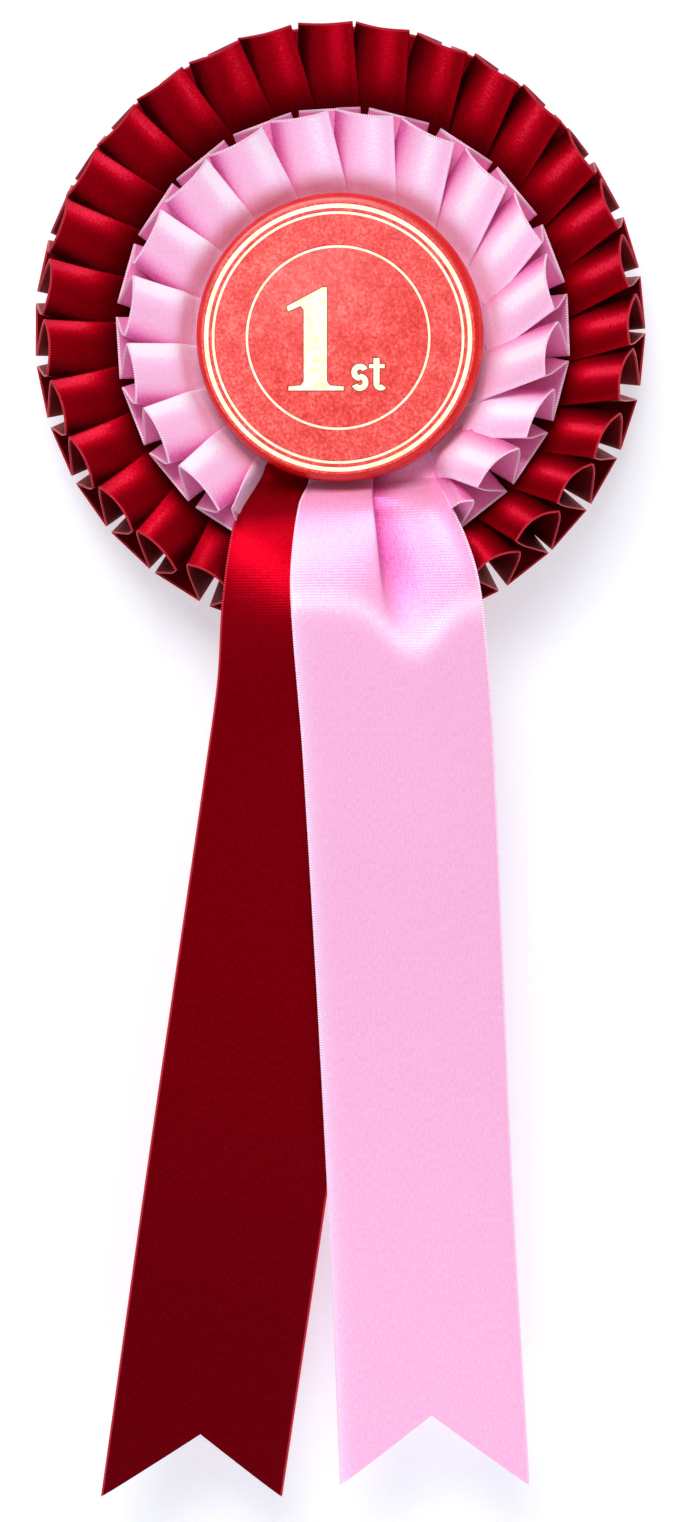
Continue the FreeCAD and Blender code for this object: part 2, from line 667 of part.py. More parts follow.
def pin_stem():
    """The sharp steel wire with its eye round the rivet."""
    body = new_body("pin_stem", **PIN)
    eye = sketch_on(body, "XZ_Plane", "eye")
    circle(eye, "Sizes.eye_radius", "Sizes.rivet_across", "-Sizes.pin_depth")
    pad(body, eye, "2", midplane=True)
    along = Rotation(Vector(0, 1, 0), 90)
    for name, radius, start, end in (
        ("neck", "Sizes.neck_radius", "Sizes.rivet_across + 0.9", "-Sizes.stem_half"),
        ("wire", "Sizes.stem_radius", "-Sizes.stem_half", "Sizes.stem_half"),
    ):
        length = body.newObject("PartDesign::AdditiveCylinder", name)
        length.setExpression("Radius", radius)
        length.setExpression("Height", f"{end} - ({start})")
        length.Placement = Placement(Vector(0, 0, 0), along)
        length.setExpression(".Placement.Base.x", start)
        length.setExpression(".Placement.Base.z", "-Sizes.pin_depth")
    point = body.newObject("PartDesign::AdditiveCone", "point")
    point.setExpression("Radius1", "Sizes.stem_radius")
    point.Radius2 = 0.05
    point.setExpression("Height", "Sizes.stem_tip - Sizes.stem_half")
    point.Placement = Placement(Vector(0, 0, 0), along)
    point.setExpression(".Placement.Base.x", "Sizes.stem_half")
    point.setExpression(".Placement.Base.z", "-Sizes.pin_depth")
    rivet_hole = sketch_on(body, "XZ_Plane", "eye_hole")
    circle(rivet_hole, "Sizes.rivet_radius + Sizes.running_gap", "Sizes.rivet_across",
           "-Sizes.pin_depth")
    pocket(body, rivet_hole, "5", midplane=True)


def pin_catch():
    """The turning barrel that shuts the catch, with a collar and a thumb lever."""
    body = new_body("pin_catch", **PIN)
    barrel = sketch_on(body, "YZ_Plane", "barrel", "(Sizes.barrel_start + Sizes.barrel_end) / 2")
    circle(barrel, "Sizes.barrel_radius", "0", "-Sizes.pin_depth")
    pad(body, barrel, "Sizes.barrel_end - Sizes.barrel_start", midplane=True)
    for name, start, end in (
        ("collar", "Sizes.barrel_start", "Sizes.cradle_start - 0.2"),
        ("lever_ring", "Sizes.cradle_end + 0.2", "Sizes.barrel_end"),
    ):
        face = sketch_on(body, "YZ_Plane", name, f"({start} + {end}) / 2")
        circle(face, "Sizes.barrel_radius + 0.35", "0", "-Sizes.pin_depth")
        pad(body, face, f"{end} - ({start})", midplane=True)
    plate(body, "lever", "Sizes.cradle_end + 0.2", "Sizes.barrel_end",
          "-3.4", "-1.2", "-Sizes.pin_depth - 0.45", "0.9")
    bore = sketch_on(body, "YZ_Plane", "barrel_bore", "(Sizes.barrel_start + Sizes.barrel_end) / 2")
    circle(bore, "Sizes.barrel_bore", "0", "-Sizes.pin_depth")
    pocket(body, bore, "6", midplane=True)
    slot = sketch_on(body, "YZ_Plane", "barrel_slot", "(Sizes.barrel_start + Sizes.barrel_end) / 2")
    half = "Sizes.barrel_slot / 2"
    outline(slot, [
        (f"-{half}", "-Sizes.pin_depth"), (half, "-Sizes.pin_depth"),
        (half, "-Sizes.pin_depth - 3"), (f"-{half}", "-Sizes.pin_depth - 3"),
    ])
    pocket(body, slot, "6", midplane=True)


# ---- assembly ----------------------------------------------------------------------

def build():
    """Make every piece, from the back of the rosette to the front."""
    pin_tape()
    pin_bar()
    pin_rivet()
    pin_stem()
    pin_catch()
    disc("rear_card", "Sizes.rear_radius", "-Sizes.card_thick - Sizes.glue_gap - Sizes.rear_thick",
         "Sizes.rear_thick")
    rear_glue()
    disc("base_card", "Sizes.card_radius", "-Sizes.card_thick", "Sizes.card_thick")
    stitches("outer_stitches", "Sizes.outer_hole + 2", "Sizes.outer_pleats")
    stitches("inner_stitches", "Sizes.inner_hole + 1.5", "Sizes.inner_pleats",
             "Sizes.inner_across", "-Sizes.inner_down")
    outer_tier()
    inner_tier()
    disc("spacer_pad", "Sizes.pad_radius", "0", "Sizes.pad_top", **BUTTON)
    tail_tab("red", "0", "Sizes.pad_top", "0.7")
    tail_tab("pink", "Sizes.tail_gap", "(Sizes.pad_top + Sizes.tab_thick)", "1.3")
    tail("red", "0")
    tail("pink", "Sizes.tail_gap")
    tail_staples()
    disc("button_glue", "Sizes.pad_radius - 4", "Sizes.pad_top + 2 * Sizes.tab_thick + 0.1",
         "0.5", **BUTTON)
    button_back()
    button_shell()
    disc("button_board", "Sizes.button_radius - Sizes.roll - 0.5",
         "Sizes.button_face - Sizes.cover_thick - Sizes.board_thick", "Sizes.board_thick", **BUTTON)
    button_cover()
    for name in ("wide", "narrow", "inner"):
        ring(f"foil_{name}_ring", f"Sizes.ring_{name}_out", f"Sizes.ring_{name}_in",
             "Sizes.button_face", "Sizes.foil_thick", "-Sizes.foil_aside",
             "-Sizes.button_down - Sizes.foil_low")
    foil_numeral()
    foil_suffix()


def check():
    """Stop with a plain message if any object or piece came out wrong."""
    doc.recompute()
    for item in doc.Objects:
        if "Invalid" in item.State or "Error" in item.State:
            raise RuntimeError(f"{item.Name} did not compute: {item.State}")
    for piece in pieces:
        if piece.Shape.isNull() or not piece.Shape.isValid() or not piece.Shape.Solids:
            raise RuntimeError(f"{piece.Label} is not a sound solid")


def write():
    """Write each piece to its own file, and say how large it is."""
    os.makedirs("parts", exist_ok=True)
    for piece in pieces:
        piece.Shape.exportStep(f"parts/{piece.Label}.step")
        box = piece.Shape.BoundBox
        print(f"{piece.Label:18s} solids {len(piece.Shape.Solids):3d}  volume {piece.Shape.Volume:9.2f}"
              f"  x {box.XMin:7.2f} {box.XMax:7.2f}  y {box.YMin:7.2f} {box.YMax:7.2f}"
              f"  z {box.ZMin:8.2f} {box.ZMax:7.2f}")


build()
check()
write()
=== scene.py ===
# %% [markdown]
# # A first-place rosette in satin ribbon
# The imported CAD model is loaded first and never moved: it says where every piece of
# the rosette goes. Each soft piece is then built around it as the cloth it really is,
# and each hard piece gets the finish of the material it is made of.

# %% Load the frame
import json
import math
import random

import bmesh
import bpy
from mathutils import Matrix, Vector


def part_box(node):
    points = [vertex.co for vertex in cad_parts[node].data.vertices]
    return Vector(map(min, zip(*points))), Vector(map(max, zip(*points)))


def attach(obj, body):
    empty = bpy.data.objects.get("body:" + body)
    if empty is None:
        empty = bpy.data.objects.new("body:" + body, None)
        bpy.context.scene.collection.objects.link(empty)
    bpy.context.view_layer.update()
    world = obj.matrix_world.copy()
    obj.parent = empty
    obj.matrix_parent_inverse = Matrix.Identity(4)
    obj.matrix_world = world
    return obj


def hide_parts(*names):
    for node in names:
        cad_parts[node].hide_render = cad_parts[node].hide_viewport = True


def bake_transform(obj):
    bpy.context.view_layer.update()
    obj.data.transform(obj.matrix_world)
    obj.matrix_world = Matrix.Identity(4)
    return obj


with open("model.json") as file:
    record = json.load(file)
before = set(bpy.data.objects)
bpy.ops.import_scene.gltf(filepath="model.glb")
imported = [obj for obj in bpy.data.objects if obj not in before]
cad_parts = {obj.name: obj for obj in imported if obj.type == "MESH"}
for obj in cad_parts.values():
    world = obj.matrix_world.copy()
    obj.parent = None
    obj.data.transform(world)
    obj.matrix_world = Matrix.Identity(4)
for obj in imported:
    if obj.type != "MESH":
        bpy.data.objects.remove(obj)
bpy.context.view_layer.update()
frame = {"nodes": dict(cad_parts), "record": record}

print("CAD nodes:", len(frame["nodes"]))

# %% [markdown]
# A rosette is laid out flat on the bench, so its sizes are easiest to say that way:
# millimetres to the right of the middle, up from the middle, and forward of the card
# behind the pleats. One function stands such a point upright in the frame. The outer
# tier's own box gives the middle, so nothing here is fitted by eye.

# %% Bench coordinates
MM = 0.001
tier_low, tier_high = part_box("outer_tier")
CENTRE = Vector(((tier_low.x + tier_high.x) / 2, tier_high.y, (tier_low.z + tier_high.z) / 2))
OUTER_RADIUS = (tier_high.x - tier_low.x) / 2 / MM


def stand(x, y, up):
    """The place in the frame of a point on the bench, given in millimetres."""
    return CENTRE + Vector((x, -up, y)) * MM


print("outer tier radius, mm:", round(OUTER_RADIUS, 2))

# %% [markdown]
# Two small helpers serve every material: one turns a colour read off a colour chart
# (sRGB hex) into the linear numbers that the shaders work in, and one adds a node with
# its settings and its links in a single call.

# %% Material helpers
def colour(code):
    """An sRGB hex colour as linear RGBA."""
    parts = [int(code[i : i + 2], 16) / 255 for i in (1, 3, 5)]
    return [c / 12.92 if c <= 0.04045 else ((c + 0.055) / 1.055) ** 2.4 for c in parts] + [1.0]


def new_material(name):
    """A material with only its output node, and that node."""
    made = bpy.data.materials.new(name)
    made.use_nodes = True
    made.node_tree.nodes.clear()
    return made, made.node_tree.nodes.new("ShaderNodeOutputMaterial")


def add(made, kind, links=(), inputs=(), stops=(), **settings):
    """Add one node: settings are its properties, inputs its values, links its wires in.

    A colour ramp also takes its stops, as (position, hex colour) pairs.
    """
    node = made.node_tree.nodes.new(kind)
    for key, value in settings.items():
        setattr(node, key, value)
    for key, value in dict(inputs).items():
        node.inputs[key].default_value = value
    for key, source in dict(links).items():
        made.node_tree.links.new(source, node.inputs[key])
    for index, (position, code) in enumerate(stops):
        elements = node.color_ramp.elements
        element = elements[index] if index < 2 else elements.new(1.0)
        element.position = position
        element.color = colour(code)
    return node


print("a mid grey in linear light:", round(colour("#808080")[0], 3))

# %% [markdown]
# The camera looks straight at the rosette from a little over 40 cm, at the height of
# the ribbon's middle, so the button's rim, which is nearer, looks slightly larger than
# it is. The lens follows from the distance and from how much of the wall the frame
# takes in from top to bottom.

# %% Camera
VIEW_DISTANCE = 430.0
VIEW_ACROSS = -0.71
VIEW_DROP = 87.76
VIEW_TALL = 310.6
camera_data = bpy.data.cameras.new("camera")
camera = bpy.data.objects.new("camera", camera_data)
bpy.context.scene.collection.objects.link(camera)
camera_data.sensor_width = 36.0
camera_data.lens = camera_data.sensor_width * VIEW_DISTANCE / VIEW_TALL
camera_data.clip_start = 0.01
camera_data.clip_end = 20.0
camera.location = stand(VIEW_ACROSS, -VIEW_DROP, VIEW_DISTANCE)
camera.rotation_euler = (math.radians(90), 0, 0)
bpy.context.scene.camera = camera
print("lens, mm:", round(camera_data.lens, 2))

# %% [markdown]
# The rosette hangs in front of a white wall that curves into a white floor, as on a
# studio paper sweep. The paper starts as a single line, an arc with a straight run at
# each end, and is extruded sideways. Seen from behind it is clear, and it blocks no
# light, so that the back of the rosette can be looked at too.

# %% Paper sweep
WALL_UP = -10.5
FLOOR_DROP = 340.0
SWEEP_RADIUS = 50.0
SWEEP_HALF = 650.0


def paper_sweep():
    """The paper as one curved sheet, facing the camera."""
    bm = bmesh.new()
    back, floor = WALL_UP, -FLOOR_DROP
    line = [stand(-SWEEP_HALF, 900, back)]
    for step in range(17):
        turn = math.pi / 2 * step / 16
        line.append(stand(-SWEEP_HALF, floor + SWEEP_RADIUS * (1 - math.sin(turn)),
                          back + SWEEP_RADIUS * (1 - math.cos(turn))))
    line.append(stand(-SWEEP_HALF, floor, 900))
    corners = [bm.verts.new(point) for point in line]
    edges = [bm.edges.new(pair) for pair in zip(corners, corners[1:])]
    wide = bmesh.ops.extrude_edge_only(bm, edges=edges)["geom"]
    moved = [item for item in wide if isinstance(item, bmesh.types.BMVert)]
    bmesh.ops.translate(bm, verts=moved, vec=(2 * SWEEP_HALF * MM, 0, 0))
    bmesh.ops.recalc_face_normals(bm, faces=bm.faces)
    if bm.faces[0].normal.y > 0:
        bmesh.ops.reverse_faces(bm, faces=bm.faces)
    mesh = bpy.data.meshes.new("paper_sweep")
    bm.to_mesh(mesh)
    bm.free()
    mesh.shade_smooth()
    sweep = bpy.data.objects.new("paper_sweep", mesh)
    bpy.context.scene.collection.objects.link(sweep)
    return sweep


def white_paper():
    """Matt white paper with a little light from behind. Its back lets the eye through."""
    made, output = new_material("white paper, backlit")
    spot = add(made, "ShaderNodeTexCoord")
    tooth = add(made, "ShaderNodeTexNoise", {"Vector": spot.outputs["Object"]},
                {"Scale": 700.0, "Detail": 3.0})
    bump = add(made, "ShaderNodeBump", {"Height": tooth.outputs["Fac"]},
               {"Strength": 0.25, "Distance": 0.0004})
    face = add(made, "ShaderNodeBsdfPrincipled", {"Normal": bump.outputs["Normal"]},
               {"Base Color": colour("#D6D7DB"), "Roughness": 0.9, "Specular IOR Level": 0.1,
                "Emission Color": colour("#F4F8FF"), "Emission Strength": 0.42})
    clear = add(made, "ShaderNodeBsdfTransparent")
    side = add(made, "ShaderNodeNewGeometry")
    mix = add(made, "ShaderNodeMixShader",
              {"Fac": side.outputs["Backfacing"], 1: face.outputs[0], 2: clear.outputs[0]})
    made.node_tree.links.new(mix.outputs[0], output.inputs["Surface"])
    return made


sweep = paper_sweep()
sweep.data.materials.append(white_paper())
sweep.visible_shadow = False

# %% [markdown]
# Satin shows its folds only when the light has a direction. A wide soft window above
# and in front does most of the work, a weaker one on each side opens the shadows, one
# behind lights the back, and the sky colour of the world fills the rest. Beyond the
# paper the room looks pale to the eye, but lights the satin only a little: a light path
# node tells the two apart.

# %% Light
def soft_window(name, spot, target, wide, tall, watts):
    """A rectangular soft light at a bench point, aimed at another."""
    data = bpy.data.lights.new(name, "AREA")
    data.shape = "RECTANGLE"
    data.size = wide
    data.size_y = tall
    data.energy = watts
    light = bpy.data.objects.new(name, data)
    bpy.context.scene.collection.objects.link(light)
    light.location = stand(*spot)
    aim = stand(*target) - light.location
    light.rotation_euler = aim.to_track_quat("-Z", "Y").to_euler()


soft_window("window_top", (-120, 400, 620), (0, -40, 0), 0.45, 0.35, 4.8)
soft_window("window_left", (-800, 60, 450), (0, -60, 0), 0.35, 0.9, 0.45)
soft_window("window_right", (800, 60, 450), (0, -60, 0), 0.35, 0.9, 1.1)
soft_window("window_rear", (200, 500, -900), (0, -60, 0), 0.9, 0.9, 3.6)

world = bpy.data.worlds.new("studio")
bpy.context.scene.world = world
world.use_nodes = True
sky = world.node_tree.nodes["Background"]
sky.inputs["Color"].default_value = colour("#FAFBFF")
seen = add(world, "ShaderNodeLightPath")
bright = add(world, "ShaderNodeMapRange", {"Value": seen.outputs["Is Camera Ray"]},
             {"To Min": 0.24, "To Max": 0.9})
world.node_tree.links.new(bright.outputs["Result"], sky.inputs["Strength"])
bpy.context.scene.view_settings.view_transform = "Standard"
print("soft windows:", len(bpy.data.lights))

# %% [markdown]
# Light caught between two layers of ribbon bounces from dyed face to dyed face and comes
# out deeper each time, which is why the valleys of red satin look almost black. That shade
# and the bright crests are painted into the colour: a point attribute called shade
# carries them, from 0 deep in a fold to 1 on a bright crest, and a colour ramp turns it
# into tones from painted shadow to painted highlight. Seen from behind, a ring's back
# panels lie open and nothing shades them, so there the painted shade has a floor.

# %% Painted shade and highlight
def painted_light_tone(made, millimetres, tones):
    """The ribbon's colour with painted shade and highlight, a little uneven along the floats."""
    # Dashes about 0.3 mm wide and 1 mm long.
    drawn_out = add(made, "ShaderNodeMapping", {"Vector": millimetres.outputs["Vector"]},
                    {"Scale": (1.0, 3.0, 1.0)})
    streaks = add(made, "ShaderNodeTexNoise", {"Vector": drawn_out.outputs["Vector"]},
                  {"Scale": 1.0, "Detail": 3.0, "Roughness": 0.6})
    shade = add(made, "ShaderNodeAttribute", attribute_name="shade")
    uneven = add(made, "ShaderNodeMapRange", {"Value": streaks.outputs["Fac"]},
                 {"From Min": 0.25, "From Max": 0.75, "To Min": -0.12, "To Max": 0.12})
    tone = add(made, "ShaderNodeMath", {0: shade.outputs["Fac"], 1: uneven.outputs["Result"]},
               operation="ADD")
    # Seen from behind, the painted shade is lifted to a floor.
    spot = add(made, "ShaderNodeTexCoord")
    facing = add(made, "ShaderNodeSeparateXYZ", {"Vector": spot.outputs["Normal"]})
    open_back = add(made, "ShaderNodeMapRange", {"Value": facing.outputs["Y"]},
                    {"From Min": 0.5, "From Max": 0.9, "To Min": 0.0, "To Max": 0.55})
    lit = add(made, "ShaderNodeMath", {0: tone.outputs[0], 1: open_back.outputs["Result"]},
              operation="MAXIMUM")
    return add(made, "ShaderNodeValToRGB", {"Fac": lit.outputs[0]}, stops=tones)


# %% [markdown]
# The weave itself is a faint twill line crossed by a rib for every few weft threads.
# Each selvedge has a row of small picot loops that catch the light, painted as a dotted
# line: a painted highlight on each loop, darker between them. The loops need two
# measures: how near the selvedge a point is, and how far round a loop.

# %% Weave and picot loops
LOOP_PITCH = 0.5


def weave(made, millimetres):
    """The relief of the cloth. Each line stands for a few floats, which are 0.1 mm apart."""
    twill = add(made, "ShaderNodeTexWave", {"Vector": millimetres.outputs["Vector"]},
                {"Scale": 0.99, "Distortion": 0.5, "Detail": 1.0, "Detail Scale": 2.0},
                wave_type="BANDS", bands_direction="DIAGONAL")
    ribs = add(made, "ShaderNodeTexWave", {"Vector": millimetres.outputs["Vector"]},
               {"Scale": 0.55, "Distortion": 0.4, "Detail": 1.0, "Detail Scale": 2.0},
               wave_type="BANDS", bands_direction="X")
    return add(made, "ShaderNodeMath", {0: twill.outputs["Fac"], 1: ribs.outputs["Fac"]},
               operation="ADD")


def picot_loops(made, millimetres):
    """Two nodes: 1 at the selvedge and 0 inside it, and 1 on a loop and 0 between two."""
    edge = add(made, "ShaderNodeAttribute", attribute_name="selvedge")
    near = add(made, "ShaderNodeMapRange", {"Value": edge.outputs["Fac"]},
               {"From Min": 0.34, "From Max": 0.5, "To Min": 1.0, "To Max": 0.0})
    parts = add(made, "ShaderNodeSeparateXYZ", {"Vector": millimetres.outputs["Vector"]})
    turns = add(made, "ShaderNodeMath", {0: parts.outputs["X"]}, {1: math.tau / LOOP_PITCH},
                operation="MULTIPLY")
    wave = add(made, "ShaderNodeMath", {0: turns.outputs[0]}, operation="SINE")
    loops = add(made, "ShaderNodeMapRange", {"Value": wave.outputs[0]},
                {"From Min": -0.5, "From Max": 0.5})
    return near, loops


print("picot loops in 100 mm of ribbon:", round(100 / LOOP_PITCH))

# %% [markdown]
# Satin ribbon is woven from bright polyester filament. The long floats of one set of
# threads lie side by side along the ribbon, so a highlight is drawn out across them and
# the cloth is bright on one side of a fold and deep on the other. The shader gets that
# from an anisotropic reflection turned a quarter from the ribbon's own direction, which
# the UV map carries in metres. Light that comes back from inside the filament has
# picked up the dye, so part of the reflection is coloured, as a metal's is. The loops
# along the edge are matt.

# %% Satin
def satin(name, tones, dyed_gloss, picot_highlight, picot_dark):
    """Woven polyester satin, its UV map in metres: u along the ribbon, v across it."""
    made, output = new_material(name)
    flat = add(made, "ShaderNodeUVMap", uv_map="ribbon")
    tangent = add(made, "ShaderNodeTangent", direction_type="UV_MAP", uv_map="ribbon")
    millimetres = add(made, "ShaderNodeMapping", {"Vector": flat.outputs["UV"]},
                      {"Scale": (1000, 1000, 1000)})
    near, loops = picot_loops(made, millimetres)
    # The picot loops: a painted highlight on each loop, darker between them.
    picot = add(made, "ShaderNodeMix", {0: loops.outputs[0]},
                {6: colour(picot_dark), 7: colour(picot_highlight)}, data_type="RGBA")
    # The body colour carries the painted shade and the painted highlight.
    body = painted_light_tone(made, millimetres, tones)
    dyed_and_shaded = add(made, "ShaderNodeMix",
               {0: near.outputs[0], 6: body.outputs["Color"], 7: picot.outputs[2]},
               data_type="RGBA")
    bound = add(made, "ShaderNodeMath", {0: near.outputs[0], 1: loops.outputs[0]},
                operation="MULTIPLY")
    raised = add(made, "ShaderNodeMath",
                 {0: weave(made, millimetres).outputs[0], 1: bound.outputs[0]},
                 operation="ADD")
    bump = add(made, "ShaderNodeBump", {"Height": raised.outputs[0]},
               {"Strength": 0.3, "Distance": 0.00004})
    gloss = add(made, "ShaderNodeMapRange", {"Value": near.outputs[0]},
                {"To Min": dyed_gloss, "To Max": 0.0})
    surface = add(made, "ShaderNodeBsdfPrincipled",
                  {"Base Color": dyed_and_shaded.outputs[2], "Normal": bump.outputs["Normal"],
                   "Tangent": tangent.outputs["Tangent"], "Metallic": gloss.outputs[0]},
                  {"Roughness": 0.4, "Anisotropic": 0.8, "Anisotropic Rotation": 0.25,
                   "Specular IOR Level": 0.25, "Specular Tint": colour(tones[-1][1])})
    made.node_tree.links.new(surface.outputs["BSDF"], output.inputs["Surface"])
    return made


# Each ramp runs from painted shadow at 0 to painted highlight at 1.
RED_SATIN = satin(
    "red polyester satin, woven",
    [(0.0, "#2A0004"), (0.3, "#6A000A"), (0.6, "#9E0012"), (0.85, "#D40624"), (1.0, "#FF2E4C")],
    0.55, "#F03C50", "#7C0610")
PINK_SATIN = satin(
    "pink polyester satin, woven",
    [(0.0, "#D2509E"), (0.3, "#F58CC6"), (0.6, "#FFB9E0"), (0.85, "#FFD8F8"), (1.0, "#FFF2FF")],
    0.22, "#FFF6FC", "#F0A0D0")

# %% [markdown]
# A pleated tier is one long ribbon, box-pleated along its inner edge and bent into a
# ring. Each pleat is a wide front panel whose two ends curl back and run down to a
# sharp fold behind the panel's middle, and a back panel that spans from one such fold
# to the next. The inner edge is stitched flat, and the free edge springs open, so
# every fold line is a straight ray and the pleat is a shallow cone.
#
# So a pleat needs only five rays, from the stitched edge to the free one: the two ends
# of the back panel, the two curls, and the crown of the front panel. A flat grid, as
# long and as wide as the ribbon, is laid out first, and each of its points is then
# carried to its place between the two rays on either side of it. Averaging a point
# with its neighbours along the ribbon rounds the curls and leaves the folds crisp.

# %% Pleat sizes
def smooth_step(value, low, high):
    """0 below low, 1 above high, and a smooth climb between."""
    share = min(1.0, max(0.0, (value - low) / (high - low)))
    return share * share * (3 - 2 * share)


def bell(value, middle, spread):
    """1 at the middle, falling away to 0 on both sides."""
    return math.exp(-(((value - middle) / spread) ** 2))


RIBBON_WIDE = 25.0
RIBBON_THICK = 0.2


class Tier:
    """One pleated ring of ribbon: sizes in millimetres, angles clockwise from the top."""

    def __init__(self, pleats, first, across, down, stitched, seat, seat_rise, crown, curl,
                 front_wide, back_wide, lean, side_lean, tab_shade, panel_light, crest_light,
                 cover_shadow, cover_dark, seed):
        self.pleats, self.first = pleats, math.radians(first)
        self.lean, self.side_lean = lean, side_lean
        # Painted shade of the back panels, painted light of the front panel and its crest, and
        # painted shadow under the layer above.
        self.tab_shade, self.panel_light, self.crest_light = tab_shade, panel_light, crest_light
        self.cover_shadow, self.cover_dark = cover_shadow, cover_dark
        self.across, self.down = across, down
        self.stitched, self.seat, self.seat_rise = stitched, seat, seat_rise
        self.crown, self.curl = crown, curl
        self.front_wide, self.back_wide = front_wide, back_wide
        self.draw = random.Random(seed)
        self.return_long = 13.5
        # How far along the ribbon each of a pleat's rays is, from its back panel's start.
        half = front_wide / 2 + 0.6
        self.stations = [0.0, back_wide, back_wide + self.return_long]
        self.stations += [self.stations[-1] + half, self.stations[-1] + 2 * half]
        self.long = self.stations[-1] + self.return_long
        self.quirks = [self.quirk() for _ in range(pleats)]

    def quirk(self):
        """How one pleat differs from its neighbours, as hand work always does."""
        draw = self.draw.uniform
        return {"turn": draw(-0.012, 0.012), "crown": draw(-1.3, 1.3), "tilt": draw(-0.7, 0.7),
                "lean": draw(-0.03, 0.03), "back": draw(-0.25, 0.25), "bow": draw(-0.5, 0.5)}


# %% [markdown]
# A ray is a strip of ribbon lying straight out from the ring. Where its free edge is
# lifted, the strip climbs in a gentle curve, and its reach gets shorter by as much as
# the climb takes up, because ribbon doesn't stretch.

# %% A ray of ribbon
SPRING = 1.3


def climb(lift, share):
    """(reach, height) of the point a share of the way out along a strip lifted that far."""
    height = lift * share**SPRING
    lost = (SPRING * lift) ** 2 / (2 * RIBBON_WIDE * (2 * SPRING - 1))
    return RIBBON_WIDE * share - lost * share ** (2 * SPRING - 1), height


def ray(tier, angle, aside, lift, share, lean=0.0, extra=0.0):
    """A bench point on a strip at that angle, set aside along the ring, and leaning."""
    reach, height = climb(lift, share)
    free_reach, _ = climb(lift, 1.0)
    outward = Vector((math.sin(angle), math.cos(angle), 0))
    onward = Vector((math.cos(angle), -math.sin(angle), 0))
    along = outward * math.cos(lean) - onward * math.sin(lean)
    free = outward * (tier.stitched + free_reach) + onward * aside
    flat = free - along * (free_reach - reach)
    return flat + Vector((tier.across, tier.down, tier.seat + height + extra))


print("a strip lifted 12 mm reaches out, mm:", round(climb(12, 1)[0], 2))

# %% [markdown]
# The five rays of a pleat. The clockwise end of each front panel rides on the next
# panel like a shingle, so it is set higher than the other end, and the panel is wider
# than its pitch except at the free edge, where the ring is longest.

# %% The rays of a pleat
def pleat_rays(tier, number, share):
    """Where a pleat's five rays are, a share of the way out, as bench points."""
    pitch = math.tau / tier.pleats
    quirk = tier.quirks[number % tier.pleats]
    front = tier.first + number * pitch + quirk["turn"]
    back = front - pitch / 2
    side = math.sin(front)
    lean = tier.lean + tier.side_lean * side + quirk["lean"]
    open_up = 1.07 + 0.06 * side
    crown = (tier.crown + quirk["crown"]) * open_up
    curl = (tier.curl + quirk["crown"] * 0.8) * open_up
    tilt = 1.1 + quirk["tilt"] * 0.5
    wide = tier.front_wide / 2 + 0.9 * (1 - share)
    rear = tier.back_wide / 2
    seat = tier.seat_rise + quirk["back"]
    layer = 0.9 * (1 - share) + 0.35
    return [
        ray(tier, back, -rear, seat, share, 0, 0.1),
        ray(tier, back, rear, seat, share, 0, 0.1),
        ray(tier, front, -wide, curl - tilt, share, lean, layer * 0.5),
        ray(tier, front, quirk["bow"], crown, share, lean, layer),
        ray(tier, front, wide, curl + tilt, share, lean, layer * 1.9),
    ]


# %% [markdown]
# The painted shade of each point follows from where it is in its fold. The back panel is
# painted darkest. The returns get lighter towards the front. The front panel has a
# painted highlight on its crest where its curve faces the window, on the side nearer to
# it, and a thin painted highlight at the curl. The whole of it has painted shadow near
# the stitches, where the layer above covers it.

# %% The painted shade of a pleat
def pleat_shade(tier, along, share):
    """Painted shade and highlight of a point of the pleated ribbon, for where it is in its fold.
    """
    number, rest = divmod(along, tier.long)
    side = math.sin(tier.first + number * math.tau / tier.pleats)
    ends = tier.stations + [tier.long]
    if rest < ends[1]:
        return tier.tab_shade
    if rest < ends[2]:
        return tier.tab_shade + 0.3 * ((rest - ends[1]) / (ends[2] - ends[1])) ** 2
    if rest > ends[4]:
        return tier.tab_shade + 0.3 * ((ends[5] - rest) / (ends[5] - ends[4])) ** 2
    run = (rest - ends[2]) / (ends[4] - ends[2])
    # A painted highlight on the crest, on the side nearer the window.
    crest = bell(run, 0.68 - 0.2 * side, 0.17)
    lit = 0.12 + tier.panel_light * smooth_step(run, 0.02, 0.4)
    lit += (tier.crest_light + 0.2 * abs(side)) * crest * smooth_step(share, 0.25, 0.75)
    # A thin painted highlight at the curl.
    lit += 0.25 * bell(run, 0.965, 0.025)
    # Painted shadow near the stitches, under the layer above.
    inner = smooth_step(share, *tier.cover_shadow)
    return lit * (tier.cover_dark + (1 - tier.cover_dark) * inner)


# %% [markdown]
# To place a point, its pleat and the two rays on either side of it are found from how
# far along the ribbon it is. Rays are kept once worked out, because each of them is
# asked for many times.

